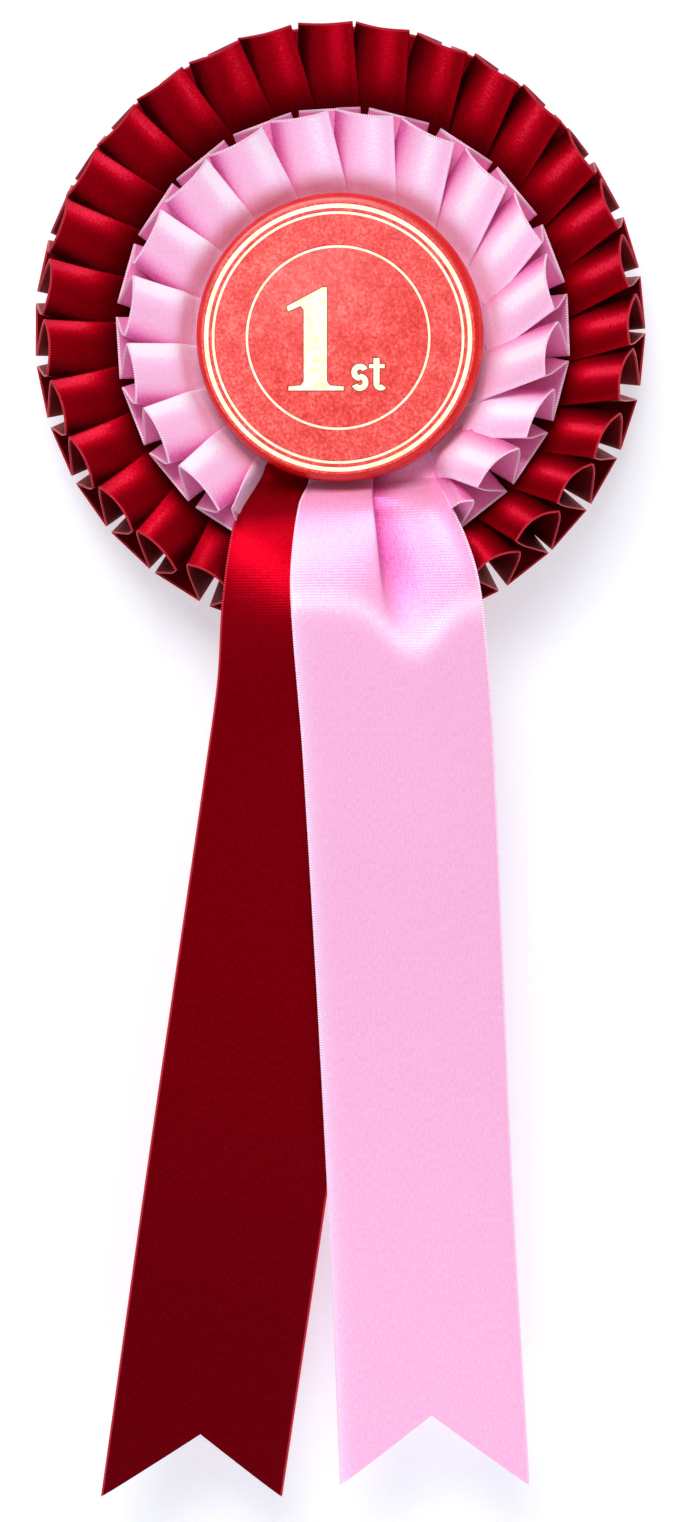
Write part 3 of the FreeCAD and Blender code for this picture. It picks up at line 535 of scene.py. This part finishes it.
# %% From flat to pleated
class FoldedRibbon:
    """Finds where a point of a tier's flat ribbon comes to lie once it is pleated."""

    # How far a point is averaged at each of a pleat's rays, in millimetres.
    rounding = [0.12, 0.12, 3.2, 4.6, 2.6]

    def __init__(self, tier):
        self.tier = tier
        self.rays = {}

    def corners(self, number, share):
        """A pleat's five rays, kept once they have been worked out."""
        key = (number % self.tier.pleats, round(share, 5))
        if key not in self.rays:
            self.rays[key] = pleat_rays(self.tier, key[0], share)
        return self.rays[key]

    def straight(self, along, share):
        """The place of a point if every fold were sharp."""
        tier = self.tier
        number, rest = divmod(along, tier.long)
        number = int(number)
        here = self.corners(number, share)
        stations = tier.stations + [tier.long]
        for index in range(5):
            if rest <= stations[index + 1] or index == 4:
                start = here[index]
                end = here[index + 1] if index < 4 else self.corners(number + 1, share)[0]
                run = (rest - stations[index]) / (stations[index + 1] - stations[index])
                return start.lerp(end, run)

    def window(self, along):
        """How far to each side a point is averaged: little at a fold, more at a curl."""
        rest = along % self.tier.long
        stations = self.tier.stations + [self.tier.long]
        return min(4.6, min(soft + abs(rest - spot)
                            for soft, spot in zip(self.rounding + [0.12], stations)))

    def place(self, along, share):
        """The place of a point with its curls rounded."""
        reach = self.window(along) * (0.35 + 0.65 * share)
        total, weight = Vector((0, 0, 0)), 0.0
        for step in range(-4, 5):
            pull = 1.0 - abs(step) / 5.5
            total += self.straight(along + reach * step / 4, share) * pull
            weight += pull
        return total / weight


# %% [markdown]
# The ribbon starts as a flat grid. Its columns aren't evenly spaced: they crowd together
# where the ribbon turns. The UV map is made while the grid is still flat, so that the
# weave keeps its size wherever the ribbon goes. A Solidify modifier gives it its
# thickness, and its borders are marked sharp so that the cut edges stay crisp.

# %% Lay out and finish a ribbon
def crowd(start, end, count):
    """Places from start to end, excluding the end, closest together near both."""
    return [start + (end - start) * (1 - math.cos(math.pi * i / count)) / 2 for i in range(count)]


def ribbon_columns(tier):
    """How far along the flat ribbon each column of the grid is."""
    stations = tier.stations + [tier.long]
    one = []
    for index, count in enumerate((7, 11, 9, 9, 11)):
        one += crowd(stations[index], stations[index + 1], count)
    return [pleat * tier.long + spot for pleat in range(tier.pleats) for spot in one]


def flat_ribbon(columns, rows, wide):
    """A grid as long and as wide as a ribbon, with its UV map in metres."""
    bm = bmesh.new()
    uv = bm.loops.layers.uv.new("ribbon")
    bmesh.ops.create_grid(bm, x_segments=len(columns) - 1, y_segments=rows, size=0.5)
    bm.verts.ensure_lookup_table()
    for vert in bm.verts:
        column = round((vert.co.x + 0.5) * (len(columns) - 1))
        vert.co = Vector((columns[column], (vert.co.y + 0.5) * wide, 0))
    for face in bm.faces:
        for loop in face.loops:
            loop[uv].uv = loop.vert.co.xy * MM
    return bm


def finish_ribbon(bm, name, wide, material):
    """Turn a folded grid into a ribbon piece: selvedge attribute, thickness, material."""
    uv = bm.loops.layers.uv["ribbon"]
    edge = bm.verts.layers.float.new("selvedge")
    for vert in bm.verts:
        across = vert.link_loops[0][uv].uv.y / MM
        vert[edge] = min(across, wide - across)
    for border in bm.edges:
        border.smooth = not border.is_boundary
    mesh = bpy.data.meshes.new(name)
    bm.to_mesh(mesh)
    bm.free()
    mesh.shade_smooth()
    mesh.materials.append(material)
    piece = bpy.data.objects.new(name, mesh)
    bpy.context.scene.collection.objects.link(piece)
    body = piece.modifiers.new("thickness", "SOLIDIFY")
    body.thickness = RIBBON_THICK * MM
    body.offset = 0
    return piece


# %% [markdown]
# Later the tails are hung over the lowest pleats, and the button is set down on all of
# them. The tails' edges and their height are known from the start, as (down, across) and
# (down, height) places. A curve runs through each list, level with its neighbours'
# slope, so a few places are enough.

# %% Where the tails run
def curve_through(spots, at):
    """A smooth curve through (place, value) spots, level with its neighbours' slope."""
    if at <= spots[0][0]:
        return spots[0][1]
    if at >= spots[-1][0]:
        return spots[-1][1]
    last = len(spots) - 1
    index = max(i for i in range(last) if spots[i][0] <= at)
    (x0, y0), (x1, y1) = spots[index], spots[index + 1]

    def slope(i):
        a, b = spots[max(0, i - 1)], spots[min(last, i + 1)]
        return (b[1] - a[1]) / (b[0] - a[0])

    wide, t = x1 - x0, (at - x0) / (x1 - x0)
    return ((2 * t**3 - 3 * t**2 + 1) * y0 + (t**3 - 2 * t**2 + t) * wide * slope(index)
            + (3 * t**2 - 2 * t**3) * y1 + (t**3 - t**2) * wide * slope(index + 1))


RED_HEIGHT = [(20.0, 5.6), (26.0, 5.4), (30.5, 5.4), (32.5, 6.2), (35.0, 8.7), (39.0, 11.2),
              (46.0, 13.6), (54.0, 15.2), (62.0, 15.6), (75.0, 14.8), (110.0, 12.8), (233.0, 9.9)]
RED_LEFT = [(20.0, -12.5), (27.3, -14.7), (33.6, -18.2), (39.7, -20.9), (55.9, -23.2),
            (71.7, -24.2), (87.6, -26.4), (165.4, -37.9), (226.8, -46.6), (236.0, -47.9)]
RED_RIGHT = [(20.0, 6.4), (27.3, 7.0), (33.6, 7.9), (46.0, 10.0), (60.0, 11.5), (87.6, 10.2),
             (174.2, -2.6), (234.6, -11.6)]
PINK_LEFT = [(20.0, -5.4), (27.3, -5.8), (32.0, -6.4), (37.0, -8.2), (49.7, -9.7),
             (59.5, -9.5), (87.2, -7.3), (170.9, -2.6), (231.7, 0.0)]
PINK_RIGHT = [(20.0, 16.5), (26.5, 18.5), (35.4, 21.4), (43.6, 24.8), (51.5, 27.1),
              (63.5, 28.6), (87.2, 30.4), (170.9, 34.1), (229.3, 37.5)]

print("the tails' span where they leave the pleats, mm:",
      round(curve_through(PINK_RIGHT, OUTER_RADIUS) - curve_through(RED_LEFT, OUTER_RADIUS), 1))

# %% [markdown]
# Whatever part of a pleat would stand above the tails or inside the button is pushed
# down below them, more gently near the limit, so that it looks squashed and not cut off.
# At the sides the push fades away, and the pleats spring up again. The button's place
# and the height of its back plate come from the CAD model.

# %% Press the pleats
cover_low, cover_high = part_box("button_cover")
BUTTON = (cover_low + cover_high) / 2
BUTTON_RADIUS = (cover_high.x - cover_low.x) / 2 / MM
BACK_PLATE = (CENTRE.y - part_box("button_back")[1].y) / MM
EASE = 1.5
SQUEEZE = 1.4
PRESSED_BELOW = 2.2


def eased(height, limit):
    """A height pushed down until it is below the limit, and more gently near it."""
    over = height - (limit - EASE)
    if over <= 0:
        return height
    return limit - EASE + SQUEEZE * (1 - math.exp(-over / EASE))


def pressed(point):
    """Push a bench point of a pleat back under the button or the tails, if it is there."""
    from_button = math.hypot(point.x - (BUTTON.x - CENTRE.x) / MM,
                             point.y - (BUTTON.z - CENTRE.z) / MM)
    under = 1 - smooth_step(from_button, BUTTON_RADIUS, BUTTON_RADIUS + 4.0)
    point.z += (eased(point.z, BACK_PLATE - 0.2) - point.z) * under
    down = -point.y
    if down > 5:
        left, right = curve_through(RED_LEFT, down), curve_through(PINK_RIGHT, down)
        under = smooth_step(point.x, left - EASE, left + EASE) * (
            1 - smooth_step(point.x, right - EASE, right + EASE))
        limit = curve_through(RED_HEIGHT, down) - PRESSED_BELOW
        point.z += (eased(point.z, limit) - point.z) * under
    return point


# %% [markdown]
# With all of that a tier is a short job: lay out its ribbon, give each point its shade
# and carry it to its place. The outer tier lies on the card. The inner one is smaller,
# sits on top of it, and leans more, as its pleats were pushed round when it was sewn.

# %% Fold the two tiers
def pleated_tier(name, tier, material, rows=14):
    """One ring of pleats, as a finished ribbon piece."""
    columns = ribbon_columns(tier)
    columns.append(tier.pleats * tier.long)
    bm = flat_ribbon(columns, rows, RIBBON_WIDE)
    folded = FoldedRibbon(tier)
    shade = bm.verts.layers.float.new("shade")
    for vert in bm.verts:
        along, share = vert.co.x, vert.co.y / RIBBON_WIDE
        vert[shade] = pleat_shade(tier, along, share)
        spot = pressed(folded.place(along, share))
        vert.co = stand(*spot)
    print(name, "ribbon, m:", round(tier.long * tier.pleats * MM, 3), "faces:", len(bm.faces))
    return finish_ribbon(bm, name, RIBBON_WIDE, material)


outer = Tier(pleats=31, first=-2.7, across=0, down=0, stitched=37.0, seat=0.4, seat_rise=0.2,
             crown=15.2, curl=12.8, front_wide=12.2, back_wide=10.7, lean=0.03, side_lean=0.08,
             tab_shade=0.18, panel_light=0.38, crest_light=0.3, cover_shadow=(0.2, 0.62),
             cover_dark=0.3, seed=7)
outer_ribbon = pleated_tier("outer_tier_ribbon", outer, RED_SATIN)
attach(outer_ribbon, "rosette")
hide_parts("outer_tier")

inner = Tier(pleats=20, first=-12.0, across=0.6, down=-2.65, stitched=20.6, seat=4.6,
             seat_rise=5.4, crown=14.2, curl=12.2, front_wide=13.0, back_wide=12.3, lean=0.07,
             side_lean=0.22, tab_shade=0.3, panel_light=0.56, crest_light=0.22,
             cover_shadow=(0.26, 0.4), cover_dark=0.95, seed=11)
inner_ribbon = pleated_tier("inner_tier_ribbon", inner, PINK_SATIN)
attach(inner_ribbon, "rosette")
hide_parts("inner_tier")

# %% [markdown]
# Each tail is a length of the wider ribbon, tucked under the button, spread to its full
# width over the pleats and cut to a swallow tail. It is laid flat as a grid whose lower
# end already has the V of the cut, and then hung: a few places down its left and right
# edges say where it goes, and a height says how it rides over the tiers.

# %% Hang a tail
TAIL_WIDE = 38.0


class Tail:
    """Where a hanging ribbon's edges are, as (down, across) spots, and its height."""

    def __init__(self, left, right, height, reach, notch, folds, shade):
        self.left, self.right, self.height = left, right, height
        self.reach, self.notch = reach, notch
        self.folds, self.shade = folds, shade

    def place(self, across, down):
        """The bench point of the ribbon's point that far across (0 to 1) and down."""
        left = curve_through(self.left, down)
        right = curve_through(self.right, down)
        shifted, lag, lift = self.folds(across, down)
        up = curve_through(self.height, down - lag)
        cup = 0.9 * (1 - (2 * across - 1) ** 2) * smooth_step(down, 40, 80)
        rolled = 0.45 * (math.exp(-across / 0.035) + math.exp((across - 1) / 0.035))
        return Vector((left + (right - left) * shifted, -down, up + cup + lift - rolled))


def tail_piece(name, tail, top, bottom, notch, material, rows, across=44):
    """The part of a tail from one level to a lower one, with a V cut at its end."""
    bm = bmesh.new()
    uv = bm.loops.layers.uv.new("ribbon")
    bmesh.ops.create_grid(bm, x_segments=across, y_segments=rows, size=0.5)
    levels = crowd(top, bottom, rows) + [bottom]
    for vert in bm.verts:
        share, down = vert.co.x + 0.5, levels[round((0.5 - vert.co.y) * rows)]
        cut = notch * (1 - abs(2 * share - 1)) * smooth_step(down, (top + bottom) / 2, bottom)
        vert.co = Vector((share * TAIL_WIDE, down - cut, 0))
    for face in bm.faces:
        for loop in face.loops:
            loop[uv].uv = (loop.vert.co.y * MM, loop.vert.co.x * MM)
    shade = bm.verts.layers.float.new("shade")
    for vert in bm.verts:
        share, down = vert.co.x / TAIL_WIDE, vert.co.y
        vert[shade] = tail.shade(share, down)
        vert.co = stand(*tail.place(share, down))
    print(name, "faces:", len(bm.faces))
    return finish_ribbon(bm, name, TAIL_WIDE, material)


# %% [markdown]
# Under the button the ribbons are narrower than they were woven, so each is gathered.
# The red one only swells. The pink one is pleated once: its left part runs over, turns
# under itself and comes out again lower, and the fold opens into a shallow valley that
# is gone some 30 mm further down. Where the valley meets the bulge over the pleats,
# the bulge's crest dips in a V, and so does the painted highlight along it. For each tail
# one function says how a point is shifted across, how far the swell lags behind there
# and how much the point is lifted, and another gives its painted shade and highlight.

# %% Folds in the tails
TUCK_ACROSS = [(0.0, 0.0), (0.3, 0.33), (0.41, 0.455), (0.46, 0.485), (0.5, 0.46),
               (0.54, 0.41), (0.58, 0.42), (0.64, 0.5), (0.8, 0.73), (1.0, 1.0)]
TUCK_LIFT = [(0.0, 0.0), (0.22, 0.6), (0.38, 1.9), (0.46, 2.3), (0.5, 1.0), (0.54, -0.9),
             (0.58, -2.2), (0.64, -2.8), (0.76, -1.4), (0.9, 0.4), (1.0, 0.0)]
VALLEY = 0.62


def pinched(down):
    """How much of a fold's depth is left: the button's rim pinches it nearly flat."""
    return 0.14 + 0.86 * smooth_step(down, 32.3, 38)


def red_folds(across, down):
    """One broad swell where the tail leaves the tier, its crest slanting down leftwards."""
    fade = 1 - smooth_step(down, 60, 120)
    slant = 10.0 * (across - 0.3) * fade * smooth_step(down, 34, 50)
    dip = 1.8 * smooth_step(across, 0.5, 0.85) * (1 - smooth_step(down, 55, 75))
    return across, slant, 0.5 * fade * math.sin(across * math.pi) - dip * pinched(down)


def red_shade(across, down):
    """A painted highlight slants across the swell in a band. Below it painted shade makes the
    tail gradually deeper.
    """
    # A painted highlight in a band across the swell.
    band = bell(down, 42 + 31 * across, 5.0) * (1 - smooth_step(across, 0.45, 0.7))
    # Painted shade, darker towards the bottom.
    deeper = 0.1 * smooth_step(down, 56, 75) + 0.2 * smooth_step(down, 100, 235)
    return 0.55 - deeper + 0.14 * band


def pink_folds(across, down):
    """One tuck just left of the middle: deepest below the rim, and gone 30 mm down."""
    fade = 1 - smooth_step(down, 36, 66)
    shifted = across + (curve_through(TUCK_ACROSS, across) - across) * fade
    lag = 9.0 * bell(across, VALLEY, 0.2)
    lag *= smooth_step(down, 38, 60) * (1 - smooth_step(down, 75, 120))
    return shifted, lag, curve_through(TUCK_LIFT, across) * fade * pinched(down)


def pink_shade(across, down):
    """A painted highlight in a V along the bulge's crest, painted shade above it, deepest in the
    valley, and a painted highlight down the left edge.
    """
    crest = 56.5 + 9.0 * bell(across, VALLEY, 0.2)
    # A painted highlight in a V along the crest.
    band = bell(down, crest, 2.2)
    # Painted shade above the crest.
    above = 1 - smooth_step(down, crest - 6, crest - 1)
    # Painted shade in the tuck's valley.
    valley = bell(across, VALLEY, 0.1) * (1 - smooth_step(down, 46, 63))
    # A painted highlight down the left edge.
    pale = math.exp(-across / 0.035) * smooth_step(down, 36, 50)
    return 0.6 + 0.26 * band - 0.1 * above - 0.48 * valley + 0.3 * pale


print("depth of a fold left at the rim:", round(pinched(32), 2))
red_tail = Tail(left=RED_LEFT, right=RED_RIGHT, height=RED_HEIGHT, reach=234.6, notch=13.0,
                folds=red_folds, shade=red_shade)
pink_tail = Tail(left=PINK_LEFT, right=PINK_RIGHT,
                 height=[(down, up + 0.9 + 1.4 * smooth_step(down, 31, 35))
                         for down, up in RED_HEIGHT], reach=231.5, notch=14.4,
                 folds=pink_folds, shade=pink_shade)

# %% [markdown]
# The crease where a tail starts to swing is just below the button's rim. Above it the
# ribbon stays with what it hangs from, and below it swings. The last of it, under the
# button, is a piece of its own, stapled and glued down with the pleats. The pink ribbon
# hangs from the red one, so little of it may reach above the crease, or it would be
# pushed into the pleats when both swing: its tucked end is the longer one.

# %% Hang the tails
RED_TOP, PINK_TOP = 24.5, 31.6
TUCK_TOP = 12.0


def hang(name, tail, top, material):
    """One tail: the swinging ribbon from that level down, and its tucked end above."""
    ribbon = tail_piece(name + "_ribbon", tail, top, tail.reach, tail.notch, material,
                        rows=116)
    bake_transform(ribbon)
    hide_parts(name)
    end = tail_piece(name + "_tucked_end", tail, TUCK_TOP, top, 0.0, material, rows=16)
    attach(end, "rosette")
    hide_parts(name + "_tab")


hang("red_tail", red_tail, RED_TOP, RED_SATIN)
hang("pink_tail", pink_tail, PINK_TOP, PINK_SATIN)


# %% [markdown]
# The button is card and pressed steel covered in red leathercloth, a vinyl with a fine
# printed grain, with rings and figures stamped in gold foil. A heated die presses the
# foil in, so each ring lies in a shallow channel, and the die sat a little left of the
# button's middle and below it. Over the rim the cloth is stretched smooth and shines.

# %% Leathercloth and foil
def leathercloth(name, dark, middle, light, rough, relief, coat):
    """Vinyl-coated cloth with an embossed grain of about a third of a millimetre."""
    made, output = new_material(name)
    spot = add(made, "ShaderNodeTexCoord")
    grain = add(made, "ShaderNodeTexNoise", {"Vector": spot.outputs["Object"]},
                {"Scale": 1700.0, "Detail": 4.0, "Roughness": 0.7})
    cloud = add(made, "ShaderNodeTexNoise", {"Vector": spot.outputs["Object"]},
                {"Scale": 240.0, "Detail": 4.0, "Roughness": 0.6})
    blend = add(made, "ShaderNodeMix", {2: grain.outputs["Fac"], 3: cloud.outputs["Fac"]},
                {0: 0.3})
    body = add(made, "ShaderNodeValToRGB", {"Fac": blend.outputs[0]},
               stops=[(0.38, dark), (0.5, middle), (0.64, light)])
    pits = add(made, "ShaderNodeTexVoronoi", {"Vector": spot.outputs["Object"]},
               {"Scale": 3000.0}, feature="F1")
    bump = add(made, "ShaderNodeBump", {"Height": pits.outputs["Distance"]},
               {"Strength": relief, "Distance": 0.00008})
    surface = add(made, "ShaderNodeBsdfPrincipled",
                  {"Base Color": body.outputs["Color"], "Normal": bump.outputs["Normal"]},
                  {"Roughness": rough, "Specular IOR Level": 0.4, "Coat Weight": coat,
                   "Coat Roughness": 0.2})
    made.node_tree.links.new(surface.outputs["BSDF"], output.inputs["Surface"])
    return made


def toothed(name, stops, rough, metallic=0.0, scale=900.0, detail=4.0, relief=0.3):
    """A material with a fine tooth and a slight change of tone."""
    made, output = new_material(name)
    spot = add(made, "ShaderNodeTexCoord")
    tooth = add(made, "ShaderNodeTexNoise", {"Vector": spot.outputs["Object"]},
                {"Scale": scale, "Detail": detail})
    body = add(made, "ShaderNodeValToRGB", {"Fac": tooth.outputs["Fac"]}, stops=stops)
    bump = add(made, "ShaderNodeBump", {"Height": tooth.outputs["Fac"]},
               {"Strength": relief, "Distance": 0.00005})
    surface = add(made, "ShaderNodeBsdfPrincipled",
                  {"Base Color": body.outputs["Color"], "Normal": bump.outputs["Normal"]},
                  {"Roughness": rough, "Metallic": metallic})
    made.node_tree.links.new(surface.outputs["BSDF"], output.inputs["Surface"])
    return made


PRESSED_CLOTH = leathercloth("red leathercloth, embossed vinyl", "#D42420", "#EA4440", "#FF7A72",
                             0.5, 0.4, 0.05)
STRETCHED_CLOTH = leathercloth("red leathercloth, stretched over a rim", "#B80403", "#CC0604",
                               "#DC0C08", 0.34, 0.12, 0.25)
# Painted shadow for the thin dark line round the foil figures.
PAINTED_SHADOW_CLOTH = leathercloth("red leathercloth, painted shadow at the foil", "#7A0A08", "#8E100C",
                             "#A01812", 0.6, 0.2, 0.0)
GOLD_FOIL = toothed("gold foil, hot stamped",
                    [(0.3, "#F8E4A8"), (0.5, "#FFF4D2"), (0.7, "#FFFDF0")],
                    0.45, 0.12, detail=3.0, relief=0.2)
print("nodes in the gold foil's shader:", len(GOLD_FOIL.node_tree.nodes))

# %% [markdown]
# The cover is a lathe job: a profile from the middle of the face out over the rolled
# rim to the edge tucked in behind, with a channel wherever a ring was stamped, spun
# once round. The channels are centred on the die, so the face is then shifted a little
# against the rim.

# %% Button cover
FACE = (CENTRE.y - cover_low.y) / MM
REAR = (CENTRE.y - cover_high.y) / MM
LAND = 0.12
CHANNEL_GAP = 0.13
CHANNEL_SLOPE = 0.06
ROLL = 1.5
BACK_ROLL = 0.8
TURNED_IN = 4.0


def ring_of(node):
    """(inner radius, outer radius) of a foil ring, and its middle, from its CAD node."""
    low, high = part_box(node)
    middle = (low + high) / 2
    radii = [math.hypot(v.co.x - middle.x, v.co.z - middle.z) / MM
             for v in frame["nodes"][node].data.vertices]
    return min(radii), max(radii), middle


def cover_profile(rings):
    """(radius, height) points from the middle of the face to the turned-in edge."""
    points = [(0.0, FACE + 0.02)]
    height = FACE + 0.02
    for inner, outer in rings:
        points += [(inner - CHANNEL_GAP - CHANNEL_SLOPE, height),
                   (inner - CHANNEL_GAP, FACE), (outer + CHANNEL_GAP, FACE),
                   (outer + CHANNEL_GAP + CHANNEL_SLOPE, FACE + LAND)]
        height = FACE + LAND
    for step in range(13):
        turn = math.pi / 2 * step / 12
        points.append((BUTTON_RADIUS - ROLL * (1 - math.sin(turn)),
                       FACE + LAND - ROLL * (1 - math.cos(turn))))
    for step in range(7):
        turn = math.pi / 2 * step / 6
        points.append((BUTTON_RADIUS - BACK_ROLL * (1 - math.cos(turn)),
                       REAR + BACK_ROLL - BACK_ROLL * math.sin(turn)))
    points.append((BUTTON_RADIUS - TURNED_IN, REAR + 0.1))
    return points


def button_leathercloth():
    """The cover, spun from its profile, its face shifted to where the die came down."""
    rings = [ring_of(f"foil_{name}_ring") for name in ("inner", "narrow", "wide")]
    aside = rings[0][2] - BUTTON
    bm = bmesh.new()
    line = [bm.verts.new(Vector((radius * MM, 0, height * MM)))
            for radius, height in cover_profile([ring[:2] for ring in rings])]
    edges = [bm.edges.new(pair) for pair in zip(line, line[1:])]
    bmesh.ops.spin(bm, geom=line + edges, cent=(0, 0, 0), axis=(0, 0, 1), angle=math.tau,
                   steps=160, use_merge=True, use_duplicate=False)
    bmesh.ops.remove_doubles(bm, verts=bm.verts, dist=1e-6)
    bmesh.ops.recalc_face_normals(bm, faces=bm.faces)
    top = max(bm.faces, key=lambda face: face.calc_center_median().z)
    if top.normal.z < 0:
        bmesh.ops.reverse_faces(bm, faces=bm.faces)
    rim = BUTTON_RADIUS - ROLL
    for face in bm.faces:
        middle = face.calc_center_median()
        face.material_index = int(math.hypot(middle.x, middle.y) / MM > rim)
    for vert in bm.verts:
        held = 1 - smooth_step(math.hypot(vert.co.x, vert.co.y) / MM, rim, BUTTON_RADIUS)
        vert.co = Vector((BUTTON.x + vert.co.x + aside.x * held, CENTRE.y - vert.co.z,
                          BUTTON.z + vert.co.y + aside.z * held))
    mesh = bpy.data.meshes.new("button_leathercloth")
    bm.to_mesh(mesh)
    bm.free()
    mesh.shade_smooth()
    mesh.set_sharp_from_angle(angle=math.radians(35))
    for material in (PRESSED_CLOTH, STRETCHED_CLOTH):
        mesh.materials.append(material)
    cover = bpy.data.objects.new("button_leathercloth", mesh)
    bpy.context.scene.collection.objects.link(cover)
    print("button cover faces:", len(mesh.polygons))
    return cover


cover = button_leathercloth()
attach(cover, "rosette")
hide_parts("button_cover")

# %% [markdown]
# A thin dark line round each figure is a painted shadow. The line is the figure's own
# outline, taken from its CAD node and moved out by a small even margin, just below the
# foil.

# %% Painted shadow round the figures
SHADOW_MARGIN = 0.16
EDGE_LIFT = 0.05
EDGE_THICKNESS = 0.04


def painted_shadow_edge(node):
    """A thin plate of painted shadow, a little larger all round than a flat foil figure."""
    bm = bmesh.new()
    bm.from_mesh(frame["nodes"][node].data)
    bmesh.ops.remove_doubles(bm, verts=bm.verts, dist=1e-6)
    bm.normal_update()
    behind = [face for face in bm.faces if face.normal.y > -0.9]
    bmesh.ops.delete(bm, geom=behind, context="FACES")
    away = {}
    for vert in bm.verts:
        outward = Vector((0, 0, 0))
        for edge in vert.link_edges:
            if edge.is_boundary:
                along = (edge.verts[1].co - edge.verts[0].co).normalized()
                side = along.cross(Vector((0, 1, 0)))
                inner = edge.link_faces[0].calc_center_median() - edge.verts[0].co
                outward += -side if side.dot(inner) > 0 else side
        if outward.length > 0.1:
            away[vert] = 2 * outward / outward.length_squared
    for vert, outward in away.items():
        vert.co += outward * min(1.0, 1.6 / outward.length) * SHADOW_MARGIN * MM
    for vert in bm.verts:
        vert.co.y = CENTRE.y - (FACE + EDGE_LIFT) * MM
    solid = bmesh.ops.extrude_face_region(bm, geom=bm.faces[:])["geom"]
    moved = [item for item in solid if isinstance(item, bmesh.types.BMVert)]
    bmesh.ops.translate(bm, verts=moved, vec=(0, EDGE_THICKNESS * MM, 0))
    bmesh.ops.recalc_face_normals(bm, faces=bm.faces)
    mesh = bpy.data.meshes.new(node + "_edge")
    bm.to_mesh(mesh)
    bm.free()
    mesh.materials.append(PAINTED_SHADOW_CLOTH)
    edge = bpy.data.objects.new(node + "_edge", mesh)
    bpy.context.scene.collection.objects.link(edge)
    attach(edge, "rosette")
    print(edge.name, "faces:", len(mesh.polygons))


for node in ("foil_numeral", "foil_suffix"):
    painted_shadow_edge(node)

# %% [markdown]
# The rest is hidden in front, but shows from behind: white cards, set glue, the plated
# pin and its catch, and the pressed tin back of the button.

# %% Other finishes
def plain(name, light, dark, rough, metallic=0.0, scale=900.0):
    """A finish that only changes a little between two tones."""
    return toothed(name, [(0.35, dark), (0.65, light)], rough, metallic, scale)


FINISHES = {
    "red_leathercloth": PRESSED_CLOTH,
    "gold_foil": GOLD_FOIL,
    "white_card": plain("white card, calendered", "#F4F2EC", "#E9E6DE", 0.6),
    "hot_glue": plain("hot-melt glue, set", "#E9E4D2", "#DAD3BC", 0.25),
    "white_thread": plain("polyester thread", "#F5F5F0", "#DDDDD6", 0.6),
    "foam": plain("polyethylene foam, sliced", "#F2F2F0", "#DCDCD8", 0.8, scale=1600.0),
    "plated_steel": plain("mild steel, nickel plated", "#D9D9D6", "#C4C4C0", 0.28, 1.0),
    "tinplate": plain("tinplate, pressed", "#CFCFCB", "#BDBDB8", 0.35, 1.0),
}

for part in frame["record"]["subparts"]:
    node = frame["nodes"][part["node"]]
    if not node.hide_render:
        node.data.materials.clear()
        node.data.materials.append(FINISHES[part["material_slot"]])
print("finishes for the CAD pieces:", len(FINISHES))
